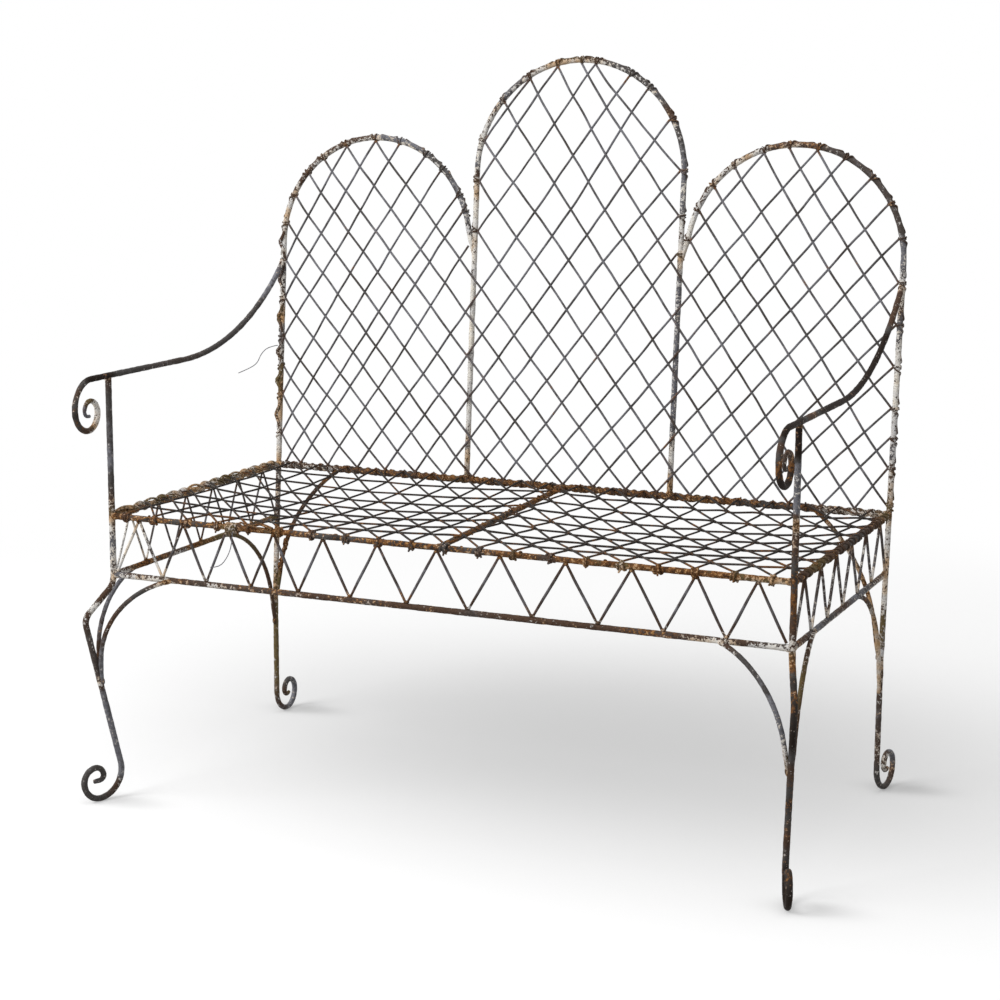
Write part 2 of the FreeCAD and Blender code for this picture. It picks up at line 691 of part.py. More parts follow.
# Each diagonal goes one column to the left for each row towards the back.
lean = column_pitch / row_pitch
diagonal_wires = []
for column in range(-columns, columns + rows):
    front_x = (column + 0.5) * column_pitch
    low = max(seat_front, front_y + (front_x - seat_x) / lean)
    high = min(seat_back, front_y + (front_x + seat_x) / lean)
    if high - low > row_pitch:
        ends = [V(front_x - lean * (y - front_y), y, seat_height + long_lift + 2 * layer)
                for y in (low, high)]
        diagonal_wires.append(laid_wire(ends, mesh_radius, size("mesh_bend")))
group("seat_mesh_diagonal", diagonal_wires)


def clear_of(places, width):
    """A test for places along a rail that other pieces leave free for a wrap."""
    return lambda place: all(abs(place - other) > width + wrap_half + lay_gap for other in places)


peak_room = zigzag_radius + size("zigzag_bend")
front_peaks = [-front_span / 2 + place for place in front_places[1::2]]
side_peaks = [side_start + place for place in side_places[1::2]]
brace_room = brace_radius + rail_radius + weld_gap
rear_braces = [sign * seat_rear.x for sign in (1, -1)]
free_front = clear_of(front_peaks, peak_room)
free_side = clear_of(side_peaks, peak_room)
cross_rear = size("cross_front") - size("cross_lean")
free_legs = clear_of([-centre_half, centre_half], rod_radius)
free_braces = clear_of(rear_braces, brace_room)
free_ends = clear_of([-half_width, half_width], rod_radius)
free_cross_front = clear_of([size("cross_front")], rail_radius)
free_cross_rear = clear_of([cross_rear], rail_radius)
front_seats = [x for x in seat_places if free_front(x) and free_cross_front(x)]
rear_seats = sorted(back_seats["rail"]) + seat_places
free_rear = (free_cross_rear, free_legs, free_braces, free_ends)
rear_seats = [x for x in rear_seats if all(free(x) for free in free_rear)]
side_seats = [y for y in row_places if free_side(y)]
wrap_group("wraps_seat_front", [(V(x, front_y, seat_height), X) for x in front_seats], rail_radius)
wrap_group("wraps_seat_rear", [(V(x, rear_y, seat_height), X) for x in rear_seats], rail_radius)
for side, x in (("left", -half_width), ("right", half_width)):
    wrap_group(f"wraps_seat_{side}", [(V(x, y, seat_height), Y) for y in side_seats], rail_radius)

# Loose ends of wire: one off a wrap on the left upright, one off the front rail.
tail_radius = size("tail_diameter") / 2
tail_bend = size("tail_bend")
tail_level = seat_height + size("rise_first") + 3 * size("rise_step")
tail_start = min(arch_wraps["left"], key=lambda place: abs(place.z - tail_level))
tail_start -= X * (wrap_outside + tail_radius)
upright_tail = [tail_start + V(0, -ahead, rise) for ahead, rise in
                ((0, 0), (33, 1), (58, -9), (69, -23), (99, -29), (132, -32))]
group("loose_tail_upright", [laid_wire(upright_tail, tail_radius, tail_bend)])
tail_start = V(-6 * column_pitch, front_y - rail_radius - lay_gap - tail_radius, seat_height)
front_tail = [tail_start + V(across, 0, rise) for across, rise in
              ((0, 3), (-1, -23), (-10, -45), (-24, -61), (-39, -62))]
group("loose_tail_front", [laid_wire(front_tail, tail_radius, tail_bend)])

doc.recompute()

# Every object is checked before any file is written.
for thing in doc.Objects:
    if "Invalid" in thing.State or "Error" in thing.State:
        raise RuntimeError(f"{thing.Label} failed: {thing.State}")
for piece in nodes:
    if piece.Shape.isNull() or not piece.Shape.isValid() or not piece.Shape.Solids:
        raise RuntimeError(f"{piece.Label} has no valid solid")

os.makedirs("parts", exist_ok=True)
for piece in nodes:
    piece.Shape.exportStep(f"parts/{piece.Label}.step")
    print(f"{piece.Label}: {len(piece.Shape.Solids)} solids, {piece.Shape.Volume:.0f} mm3")
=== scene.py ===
# %% [markdown]
# # An old wire garden bench
#
# The bench is bent from round iron rod, and its back and seat are filled with wire that was
# laid and tied by hand. The solids of the frame give every size and place. This lesson lays
# finer rods and wires along them, and then gives each one the old paint, bare iron and rust
# that the years have left on it.

import json
import math
import random
from collections import namedtuple

import bpy
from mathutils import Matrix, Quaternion, Vector, kdtree, noise

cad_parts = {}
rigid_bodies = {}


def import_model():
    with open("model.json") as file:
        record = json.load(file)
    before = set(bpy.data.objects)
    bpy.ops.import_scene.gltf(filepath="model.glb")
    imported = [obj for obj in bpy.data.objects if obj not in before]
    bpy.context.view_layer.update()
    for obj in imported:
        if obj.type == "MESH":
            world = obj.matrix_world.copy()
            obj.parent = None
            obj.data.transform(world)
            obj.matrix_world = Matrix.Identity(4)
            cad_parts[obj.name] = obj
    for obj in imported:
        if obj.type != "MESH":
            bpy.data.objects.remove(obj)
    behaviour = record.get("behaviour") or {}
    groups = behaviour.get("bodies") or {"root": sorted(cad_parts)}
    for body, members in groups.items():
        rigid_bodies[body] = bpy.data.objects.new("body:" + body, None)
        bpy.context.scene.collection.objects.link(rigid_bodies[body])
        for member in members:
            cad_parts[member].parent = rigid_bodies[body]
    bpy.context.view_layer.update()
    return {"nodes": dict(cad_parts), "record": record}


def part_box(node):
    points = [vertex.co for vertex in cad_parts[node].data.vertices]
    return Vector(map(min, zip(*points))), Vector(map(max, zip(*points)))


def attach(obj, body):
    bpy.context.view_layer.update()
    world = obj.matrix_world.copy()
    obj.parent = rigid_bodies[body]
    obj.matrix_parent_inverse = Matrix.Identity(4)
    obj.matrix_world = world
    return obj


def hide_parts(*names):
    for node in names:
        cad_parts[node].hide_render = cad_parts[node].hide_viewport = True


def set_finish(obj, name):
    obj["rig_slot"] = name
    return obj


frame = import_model()
print("nodes in the frame:", len(frame["nodes"]))

# %% [markdown]
# ## The sizes of the bench
#
# The rods follow the same values as the solids, in millimetres, so that each rod lies where
# its solid is. Blender counts in metres, so points are scaled once, when a rod is drawn.

# %% Sizes
MM = 0.001
HALF_WIDTH = 531
SEAT_DEPTH = 510
SEAT_HEIGHT = 440
APRON_HEIGHT = 350
ARM_HEIGHT = 653
SETBACK = 16.1
FRONT = SETBACK - SEAT_DEPTH / 2
REAR = SETBACK + SEAT_DEPTH / 2
ROD, RAIL, BRACE = 5, 4.5, 3.5
ZIGZAG, MESH, TIE, TAIL = 1.6, 1.4, 1.2, 0.7
WELD_GAP = 0.1
RAKE_DEGREES = 4.5
RAKE = math.radians(RAKE_DEGREES)
RAKE_START = 215
X, Y, Z = Vector((1, 0, 0)), Vector((0, 1, 0)), Vector((0, 0, 1))
UP_BACK = Vector((0, math.sin(RAKE), math.cos(RAKE)))
OFF_BACK = Vector((0, -math.cos(RAKE), math.sin(RAKE)))
dice = random.Random(7)


def back_point(x, height, lift=0):
    """A place in the raked back: height along it from the rear rail, lift in front of it."""
    return Vector((x, REAR, SEAT_HEIGHT)) + UP_BACK * height + OFF_BACK * lift


def upright_depth(z):
    """How far back a rear leg or upright is at a height above the ground."""
    return REAR + (max(z, RAKE_START) - SEAT_HEIGHT) * math.tan(RAKE)


print("seat", 2 * HALF_WIDTH, "by", SEAT_DEPTH, "mm")

# %% [markdown]
# ## A bending jig
#
# A smith bends such a rod on a jig: a straight run, a bend round a former, another run. The
# same idea makes the centre line here. Each step goes on from where the last one ended, in
# the direction that it ended in, so the line never has a kink.


# %% The jig
class Jig:
    """Lays out the centre line of a rod, in runs and bends."""

    STEP = 3.5

    def __init__(self, start, heading):
        self.points = [Vector(start)]
        self.heading = Vector(heading).normalized()

    def run(self, length):
        start = self.points[-1]
        steps = max(1, round(length / self.STEP))
        for i in range(1, steps + 1):
            self.points.append(start + self.heading * (length * i / steps))

    def bend(self, radius, degrees, axis):
        centre = self.points[-1] + axis.cross(self.heading) * radius
        spoke = self.points[-1] - centre
        turn = math.radians(degrees)
        steps = max(2, round(radius * turn / self.STEP))
        for i in range(1, steps + 1):
            self.points.append(centre + Quaternion(axis, turn * i / steps) @ spoke)
        self.heading = Quaternion(axis, turn) @ self.heading

    def curl(self, radius, turns, axis, ratio=0.76):
        """A scroll: bends that each tighten by the same ratio."""
        for degrees in turns:
            self.bend(radius, degrees, axis)
            radius *= ratio

    def hook(self, radius, degrees, axis, length):
        """The tip of a scroll: one tight bend and a short straight end."""
        self.bend(radius, degrees, axis)
        self.run(length)


def straight(start, end):
    run = Vector(end) - Vector(start)
    jig = Jig(start, run)
    jig.run(run.length)
    return jig.points


def mirrored(points):
    """The same rod at the other end of the bench."""
    return [Vector((-p.x, p.y, p.z)) for p in points]


NESTLE = 45


def nestle(points, shift):
    """Draws the first end of a rod aside, onto the rod that it is welded to."""
    moved = []
    for point in points:
        share = max(0, 1 - (point - points[0]).length / NESTLE)
        moved.append(point + shift * share ** 1.5)
    return moved


lines = {}

# %% [markdown]
# ## Posts, arches and arms
#
# Each front post is one rod: from the arm down past the seat, out over the knee and into a
# scroll foot. Each outer arch is one rod too, from the middle of the back over the arch, down
# the upright and the rear leg to its foot. The arms spring from the uprights.

# %% Front posts
FOOT_AXIS = ROD - 0.5
SPLAY = math.radians(21)
SHIN = math.radians(14)
FRONT_SCROLL = 40
outward = Vector((-math.sin(SPLAY), -math.cos(SPLAY), 0))
outward_axis = Vector((outward.y, -outward.x, 0))

post = Jig((-HALF_WIDTH, FRONT, ARM_HEIGHT - ROD - WELD_GAP), -Z)
post.run(post.points[0].z - APRON_HEIGHT)
post.bend(radius=30, degrees=50, axis=outward_axis)
post.run(length=46)
post.bend(radius=20, degrees=64, axis=-outward_axis)
knee, shin_heading = post.points[-1], post.heading
post.run((knee.z - FOOT_AXIS - FRONT_SCROLL * (1 + math.sin(SHIN))) / math.cos(SHIN))
post.curl(FRONT_SCROLL, turns=[104, 90, 90, 80], axis=outward_axis, ratio=0.72)
post.hook(radius=7.5, degrees=100, axis=outward_axis, length=10)
lines["front_post_left"] = post.points
print("points along a front post:", len(post.points))

# %% [markdown]
# The arches lie in the raked plane of the back, so they are bent about the direction that
# looks straight off it. The inner end of an outer arch is drawn aside onto the centre arch.

# %% Arches
CENTRE_LEG, CENTRE_SPRING, SIDE_SPRING = 177, 505, 383
SIDE_INNER = CENTRE_LEG + 2 * ROD + WELD_GAP
INNER_END, INNER_SHIFT = 12, 8
HEEL_BEND = 150
REAR_SCROLL = 36
arch = Jig(back_point(-SIDE_INNER, SIDE_SPRING - INNER_END), UP_BACK)
arch.run(INNER_END)
arch.bend((HALF_WIDTH - SIDE_INNER) / 2, 180, OFF_BACK)
half_bend = HEEL_BEND * math.tan(RAKE / 2)
arch.run(SIDE_SPRING + (SEAT_HEIGHT - RAKE_START) / math.cos(RAKE) - half_bend)
arch.bend(HEEL_BEND, RAKE_DEGREES, X)
arch.run(arch.points[-1].z - FOOT_AXIS - REAR_SCROLL)
arch.curl(REAR_SCROLL, turns=[90, 90, 90, 90], axis=X)
arch.hook(radius=9, degrees=110, axis=X, length=4)
lines["back_arch_left"] = nestle(arch.points, X * INNER_SHIFT)

centre = Jig(back_point(-CENTRE_LEG, RAIL + WELD_GAP), UP_BACK)
centre.run(CENTRE_SPRING - RAIL - WELD_GAP)
centre.bend(CENTRE_LEG, 180, -OFF_BACK)
centre.run(CENTRE_SPRING - RAIL - WELD_GAP)
lines["back_arch_centre"] = centre.points
print("points along an outer arch:", len(arch.points))

# %% [markdown]
# An arm sweeps down from the upright in one wide bend, runs level past the post and curls under.
# The rods of the right end are mirrored. Use has bent the right rear foot: it is turned a little
# outwards, and its scroll has opened.

# %% Arms and the right end
ARM_SWEEP, ARM_DEGREES = 460, 45
ARM_TURN = math.radians(ARM_DEGREES)
ARM_OVERHANG = 45
INSIDE_UPRIGHT = 2
arm_top = ARM_HEIGHT + ARM_SWEEP * (1 - math.cos(ARM_TURN))
arm_heading = (0, -math.cos(ARM_TURN), -math.sin(ARM_TURN))
arm = Jig((-HALF_WIDTH, upright_depth(arm_top), arm_top), arm_heading)
arm.bend(ARM_SWEEP, ARM_DEGREES, -X)
arm.run(arm.points[-1].y - FRONT + ARM_OVERHANG)
arm.curl(radius=43, turns=[90, 90, 90, 90, 90], axis=X)
arm.hook(radius=8, degrees=90, axis=X, length=4)
lines["arm_left"] = arm.points[INSIDE_UPRIGHT:]

for name in ("front_post", "back_arch", "arm"):
    lines[f"{name}_right"] = mirrored(lines[f"{name}_left"])

FOOT_TOP = 90
FOOT_TURN = Quaternion(Z, math.radians(-9))
FOOT_STRETCH = 1.1
rear_leg = upright_depth(0)
foot_pin = Vector((HALF_WIDTH, rear_leg, 0))
right_arch = [foot_pin + FOOT_TURN @ (p - foot_pin) if p.z < FOOT_TOP else p
              for p in lines["back_arch_right"]]
lowest = min(right_arch, key=lambda p: p.z)
for point in right_arch[right_arch.index(lowest):]:
    point.z = lowest.z + (point.z - lowest.z) * FOOT_STRETCH
lines["back_arch_right"] = right_arch
print("long rods:", len(lines))

# %% [markdown]
# ## Rails and braces
#
# Straight rails make the seat and the apron below it. A curved brace goes from a rail down
# beside each leg: an arc that meets the leg along its own direction, so it ends flush with it.

# %% Rails
BUTT = ROD + WELD_GAP
LEFT, RIGHT = BUTT - HALF_WIDTH, HALF_WIDTH - BUTT
CROSS_FRONT, CROSS_REAR = 11.8, -4.8
for name, y, z in (("seat_front_rail", FRONT, SEAT_HEIGHT), ("seat_rear_rail", REAR, SEAT_HEIGHT),
                   ("apron_front_rail", FRONT, APRON_HEIGHT)):
    lines[name] = straight((LEFT, y, z), (RIGHT, y, z))
for side, x in (("left", -HALF_WIDTH), ("right", HALF_WIDTH)):
    for level, z in (("seat", SEAT_HEIGHT), ("apron", APRON_HEIGHT)):
        back = upright_depth(z) - BUTT
        lines[f"{level}_{side}_rail"] = straight((x, FRONT + BUTT, z), (x, back, z))
lines["seat_cross_rod"] = straight(
    (CROSS_FRONT, FRONT + RAIL, SEAT_HEIGHT), (CROSS_REAR, REAR - RAIL, SEAT_HEIGHT))
print("rods with the rails:", len(lines))

# %% [markdown]
# A brace is one arc. Its end runs along the leg, so the leg's direction and the two places give
# the whole arc: it turns by twice the angle between its chord and the leg.

# %% Braces
BRACE_TAIL = 12
beside = ROD + BRACE + WELD_GAP


def brace(rail_place, leg_place, offset, leg_heading):
    """An arc from a rail that reaches the leg along it, and a short end beside the leg."""
    tail_start = leg_place + offset - leg_heading * BRACE_TAIL
    chord = tail_start - rail_place
    along = chord.normalized()
    side = leg_heading - along * along.dot(leg_heading)
    half_turn = math.atan2(side.length, along.dot(leg_heading))
    axis = along.cross(side).normalized()
    jig = Jig(rail_place, Quaternion(axis, -2 * half_turn) @ leg_heading)
    jig.bend(chord.length / 2 / math.sin(half_turn), math.degrees(2 * half_turn), axis)
    jig.run(BRACE_TAIL)
    return nestle(jig.points[:0:-1], offset * -0.5)[::-1]


FRONT_REACH, SIDE_REACH, REAR_SIDE_REACH, REAR_REACH = 106, 110, 190, 119
SHIN_MEETING, REAR_SIDE_MEETING, REAR_MEETING = 185, 165, 215
shin_place = knee + shin_heading * ((knee.z - SHIN_MEETING) / math.cos(SHIN))
beside_x = (X - shin_heading * shin_heading.x).normalized() * beside
beside_y = (Y - shin_heading * shin_heading.y).normalized() * beside
apron_rear = upright_depth(APRON_HEIGHT) - REAR_SIDE_REACH
leg = Vector((-HALF_WIDTH, rear_leg, 0))
BRACES = {
    "front_brace": (
        (FRONT_REACH - HALF_WIDTH, FRONT, APRON_HEIGHT), shin_place, beside_x, shin_heading),
    "side_brace": (
        (-HALF_WIDTH, FRONT + SIDE_REACH, APRON_HEIGHT), shin_place, beside_y, shin_heading),
    "rear_side_brace": (
        (-HALF_WIDTH, apron_rear, APRON_HEIGHT), leg + Z * REAR_SIDE_MEETING, -Y * beside, -Z),
    "rear_brace": (
        (REAR_REACH - HALF_WIDTH, REAR, SEAT_HEIGHT), leg + Z * REAR_MEETING, X * beside, -Z),
}
for name, (rail_place, *meeting) in BRACES.items():
    lines[f"{name}_left"] = brace(Vector(rail_place), *meeting)
for name in BRACES:
    lines[f"{name}_right"] = mirrored(lines[f"{name}_left"])
print("rods in all:", len(lines))

# %% [markdown]
# ## What the years left on each rod
#
# The finish isn't even. One stretch still has its pale paint, the next is bare and dark, and
# rust runs out of the joints. So each rod gets a short list of stops: a distance along the rod
# and the finish there, in plain words. Four amounts stand for a finish: old paint, rust, slate
# grey and warmth. They go into a colour attribute of the mesh, which the material reads.

# %% Finishes along the rods
FINISHES = {
    "soot": (0.04, 0.12, 0.00, 0.00),
    "iron": (0.06, 0.06, 0.10, 0.30),
    "brown": (0.10, 0.20, 0.00, 0.60),
    "olive": (0.18, 0.26, 0.00, 1.00),
    "flecked": (0.34, 0.30, 0.10, 0.55),
    "slate": (0.16, 0.06, 0.75, 0.35),
    "misty": (0.44, 0.06, 0.85, 0.35),
    "grey": (0.30, 0.03, 1.00, 0.30),
    "cream": (0.84, 0.12, 0.10, 0.50),
    "chalk": (0.94, 0.04, 0.20, 0.40),
    "chipped": (0.58, 0.26, 0.15, 0.60),
    "tan": (0.74, 0.48, 0.00, 0.80),
    "ochre": (0.52, 0.60, 0.00, 1.00),
    "rust": (0.18, 0.80, 0.00, 0.80),
    "scale": (0.08, 0.55, 0.00, 0.40),
    "plum": (0.20, 0.38, 0.10, 0.45),
    "dun": (0.14, 0.14, 0.20, 0.42),
    "char": (0.04, 0.42, 0.00, 0.12),
    "straw": (0.90, 0.95, 0.00, 1.00),
    "pied": (0.39, 0.10, 0.30, 0.25),
}
print("finishes:", len(FINISHES))

# %% [markdown]
# The stops of the back. "0 ochre, 30-70 tan" says: ochre at the start of the rod, and tan from
# 30 to 70 mm along it. Between two stops the finish changes evenly.

# %% Stops of the arches
STOPS = {
    "back_arch_centre":
        "0 ochre, 30-70 tan, 95-320 chalk, 355 cream, 385 tan, 405 chalk, 440 cream, 465 tan, "
        "490 chipped, 515 misty, 550 cream, 600 chipped, 640 misty, 690 chipped, 725-770 tan, "
        "805 chipped, 840-925 pied, 955 brown, 985 pied, 1050 slate, 1075-1110 misty, "
        "1150 cream, 1185 tan, 1225-1290 misty, 1320-1430 grey, 1455 misty, 1500 cream, "
        "1535 ochre",
    "back_arch_left":
        "0 tan, 18 chalk, 60-90 misty, 115 slate, 135-190 pied, 225-265 misty, 295 chipped, "
        "340 flecked, 380 chipped, 430 flecked, 475 chipped, 515 tan, 560 cream, 600 misty, "
        "650 cream, 685 ochre, 710 misty, 745 chipped, 790 ochre, 840 tan, 890 cream, 930 tan, "
        "960 chipped, 1020 flecked, 1060 ochre, 1100 tan, 1125-1160 ochre, 1200-1300 olive, "
        "1400-1450 slate, 1480 iron, 1515 olive",
    "back_arch_right":
        "0 tan, 35-80 cream, 110-165 chipped, 185 cream, 200 tan, 215 cream, 245 plum, "
        "265 chipped, 310 plum, 345-500 dun, 525 slate, 560 misty, 590 chalk, 625 flecked, "
        "655 misty, 700 chalk, 800 cream, 840 misty, 870 chipped, 900 tan, 935 ochre, 960 cream, "
        "1030 tan, 1065 cream, 1105 olive, 1155 tan, 1200 flecked, 1250 dun, 1310 flecked, "
        "1345 iron, 1400 dun, 1425 flecked, 1460 slate, 1490 chipped, 1515 flecked",
}
print("arches with stops:", len(STOPS))

# %% [markdown]
# The arms and posts are the darkest rods. Most of the paint left on them is between the seat and
# the knees.

# %% Stops of the arms and posts
STOPS.update({
    "arm_left":
        "0 chipped, 30-75 slate, 100-270 iron, 310-440 dun, 480-545 iron, 565-620 soot, "
        "650 flecked, 685 char, 720 brown, 745 tan, 785 cream, 805 olive, 825 slate, 850 grey",
    "arm_right":
        "0 chipped, 30 flecked, 75 brown, 110-470 soot, 500 flecked, 530 brown, 560-640 soot, "
        "655 brown, 680 char, 720 soot, 765 char, 800 flecked, 850 iron",
    "front_post_left":
        "0 flecked, 30 iron, 120 slate, 150 iron, 185 flecked, 205 ochre, 222 chipped, "
        "250 misty, 300 chipped, 345 brown, 358 chalk, 366 cream, 376 flecked, 410-470 dun, "
        "486 chipped, 505-640 slate, 660 flecked, 680 dun, 700-860 iron",
    "front_post_right":
        "0-36 soot, 52 slate, 75 misty, 110 slate, 128 ochre, 150 flecked, 175 plum, 200 char, "
        "235 scale, 270 brown, 292 chipped, 320 ochre, 345-400 char, 440 soot, 480 brown, "
        "530 char, 590 brown, 640-720 soot, 760 char, 860 soot",
})
print("rods with stops:", len(STOPS))

# %% [markdown]
# The seat rails have rusted most, because rain stays under their windings.

# %% Stops of the rails
STOPS.update({
    "seat_front_rail":
        "0 rust, 30 scale, 70 char, 140-175 scale, 190-208 ochre, 222 scale, 240-285 rust, "
        "300 scale, 330 plum, 380 char, 430 scale, 480-560 char, 620 plum, 660 rust, 700 plum, "
        "760 rust, 820 ochre, 860-960 rust, 1010 ochre, 1050 tan",
    "seat_rear_rail":
        "0 flecked, 30-90 chipped, 130-250 scale, 330 rust, 400 scale, 520 rust, 640 scale, "
        "760 rust, 840 char, 920 scale, 960 chipped, 1050 tan",
    "apron_front_rail":
        "0 misty, 30 chipped, 80 cream, 105 flecked, 150 plum, 170 chipped, 200-300 plum, "
        "340 brown, 430 plum, 480-560 brown, 590 dun, 640-800 brown, 850 scale, 890 plum, "
        "930 chipped, 960 cream, 990 flecked, 1030 chalk",
    "seat_left_rail": "0 rust, 40 straw, 130 ochre, 170-280 straw, 320 olive, 370-500 straw",
    "seat_right_rail": "0 scale, 100 olive, 170 brown, 300 iron, 420 brown, 500 olive",
    "apron_left_rail":
        "0 cream, 25 chipped, 60 rust, 110 scale, 170 chipped, 230 rust, 300 olive, 400 ochre, "
        "490 olive",
    "apron_right_rail":
        "0 chipped, 40 flecked, 110 slate, 160 pied, 240 flecked, 310 slate, 380 pied, "
        "440 chipped, 490 tan",
    "seat_cross_rod": "0 char, 130 scale, 260 char, 330 scale, 430 rust, 500 char",
})
print("rods with stops:", len(STOPS))

# %% [markdown]
# The braces are thin and sheltered. Rust and paint stay at their welds. With these the list is
# complete, and the words are read into pairs of a distance and a finish.

# %% Stops of the braces
STOPS.update({
    "front_brace_left": "0 ochre, 25 chipped, 50 iron, 120 brown, 190 slate",
    "front_brace_right": "0 chalk, 20 flecked, 45 iron, 120 slate, 170 misty, 200 ochre",
    "side_brace_left": "0 misty, 40-120 slate, 200 brown",
    "side_brace_right": "0 cream, 70 chipped, 120 olive, 180 brown",
    "rear_side_brace_left": "0 olive, 200 brown",
    "rear_side_brace_right": "0 slate, 60 brown, 140 ochre, 200 tan",
    "rear_brace_left": "0 rust, 60-145 brown, 165-212 rust, 230 olive",
    "rear_brace_right": "0 rust, 60 tan, 140-260 ochre",
})


def read_stops(words):
    """Pairs of a distance and a finish, from the words."""
    stops = []
    for entry in words.split(", "):
        stretch, finish = entry.split()
        stops += [(int(along), finish) for along in stretch.split("-")]
    return stops


WEAR = {name: read_stops(words) for name, words in STOPS.items()}


def finish_at(stops, along):
    """The four amounts at a distance along a rod, mixed between the stops on either side."""
    before = stops[0]
    for stop in stops:
        if stop[0] >= along:
            span = max(stop[0] - before[0], 1e-6)
            share = min(max((along - before[0]) / span, 0), 1)
            pair = zip(FINISHES[before[1]], FINISHES[stop[1]])
            return [a + (b - a) * share for a, b in pair]
        before = stop
    return list(FINISHES[stops[-1][1]])


print("rods with stops:", len(WEAR), "stops:", sum(len(stops) for stops in WEAR.values()))

# %% [markdown]
# ## From a line to a rod
#
# A curve with a round bevel is the quickest way from a line to a rod. Each point has its own
# thickness, so hammered and rusted places swell a little and the scrolls taper to their tips.
# Then the curve becomes a mesh, and a Displace modifier roughens its skin.


# %% Drawing round bars
def choose(*pieces):
    """Selects these pieces alone, because an operator acts on all that is selected."""
    bpy.ops.object.select_all(action="DESELECT")
    for piece in pieces:
        piece.select_set(True)
    if pieces:
        bpy.context.view_layer.objects.active = pieces[0]


def draw_bars(name, bars, radius, sides, smooth=False):
    """One mesh of round bars. A bar is a list of places in mm, each with its thickness."""
    choose()
    bpy.ops.curve.primitive_nurbs_path_add(location=(0, 0, 0))
    piece = bpy.context.object
    piece.name = name
    shape = piece.data
    shape.splines.clear()
    for bar in bars:
        spline = shape.splines.new("NURBS" if smooth else "POLY")
        spline.points.add(len(bar) - 1)
        for point, (place, thickness) in zip(spline.points, bar):
            point.co = (*(place * MM), 1)
            point.radius = thickness
        if smooth:
            spline.order_u = 3
            spline.use_endpoint_u = True
    shape.resolution_u = 3
    shape.bevel_depth = radius * MM
    shape.bevel_resolution = sides // 2 - 2
    shape.use_fill_caps = True
    bpy.ops.object.convert(target="MESH")
    piece.data.name = name
    bpy.ops.object.shade_smooth()
    return piece


# %% [markdown]
# A clouds texture pushes the skin in and out, for pits and scale. The wear goes into the mesh
# point by point. At the end a piece is fixed to the bench and takes the place of its solid.

# %% Skin, stain and place
PIT_SIZE, PIT_DEPTH = 5, 0.7
pitted = bpy.data.textures.new("pitted_skin", "CLOUDS")
pitted.noise_scale = PIT_SIZE * MM
pitted.noise_depth = 2


def roughen(piece):
    """Pits and scale in the skin of a piece."""
    pits = piece.modifiers.new("pits", "DISPLACE")
    pits.texture = pitted
    pits.texture_coords = "LOCAL"
    pits.strength = PIT_DEPTH * MM
    choose(piece)
    bpy.ops.object.modifier_apply(modifier=pits.name)


def stain(piece, wear_at):
    """Writes the four amounts of the finish into a colour attribute of the piece."""
    wear = piece.data.color_attributes.new("wear", "FLOAT_COLOR", "POINT")
    for vertex, entry in zip(piece.data.vertices, wear.data):
        entry.color = wear_at(vertex.co / MM, vertex.normal)


slots = {part["node"]: part["material_slot"] for part in frame["record"]["subparts"]}


def settle(piece, slot, *nodes):
    """Fixes a finished piece to the bench, in place of its solids."""
    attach(piece, "root")
    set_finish(piece, slot)
    if nodes:
        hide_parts(*nodes)


WIRE_SIDES, ROD_SIDES = 8, 14


def make_wires(name, bars, radius, wear_at, node, smooth=True):
    """Draws, stains and settles a piece of wires in place of its node."""
    piece = draw_bars(name, bars, radius, WIRE_SIDES, smooth)
    stain(piece, wear_at)
    settle(piece, slots[node], node)
    print(name, "wires:", len(bars), "faces:", len(piece.data.polygons))


# %% [markdown]
# ## Drawing the rods
#
# A rod that was hammered and has rusted isn't an even tube. Slow noise makes it swell here and
# there, and the ends of scrolls and braces are drawn out thin. Places along every rod are kept
# as seats, because the wires and welds look up the rod that they sit on.

# %% The rods
Seat = namedtuple("Seat", "place heading radius rod along")
OUTER_ARCHES = ("back_arch_left", "back_arch_right")
SCROLLED = ("front_post", *OUTER_ARCHES)
TAPER, ARM_TAPER = 26, 70
POST_WORN, ARCH_WORN = 0.95, 0.9
RAIL_SWELL, ROD_SWELL = 0.08, 0.05


def radius_of(name):
    """Half the thickness of a rod. Rust and rubbing have thinned the arches and arms most."""
    if "brace" in name:
        return BRACE
    if "rail" in name or "cross" in name:
        return RAIL
    return ROD * (POST_WORN if "post" in name else ARCH_WORN)


def taper(left, length, tip):
    """The share of a rod's thickness at a distance left to its tip."""
    return tip + (1 - tip) * min(left / length, 1)


def thickness_at(seat, end):
    """Swollen with scale here and there, and tapered to the ends."""
    swell = RAIL_SWELL if seat.radius == RAIL else ROD_SWELL
    thickness = 1 + swell * noise.noise(seat.place / 23) + swell * noise.noise(seat.place / 9)
    left = end - seat.along
    if seat.rod.startswith("arm"):
        thickness *= taper(left, ARM_TAPER, 0.55)
    elif seat.rod.startswith(SCROLLED):
        thickness *= taper(left, TAPER, 0.7)
    if seat.rod in OUTER_ARCHES:
        thickness *= taper(seat.along, TAPER, 0.6)
    if "brace" in seat.rod:
        thickness *= taper(left, TAPER, 0.6)
    return thickness


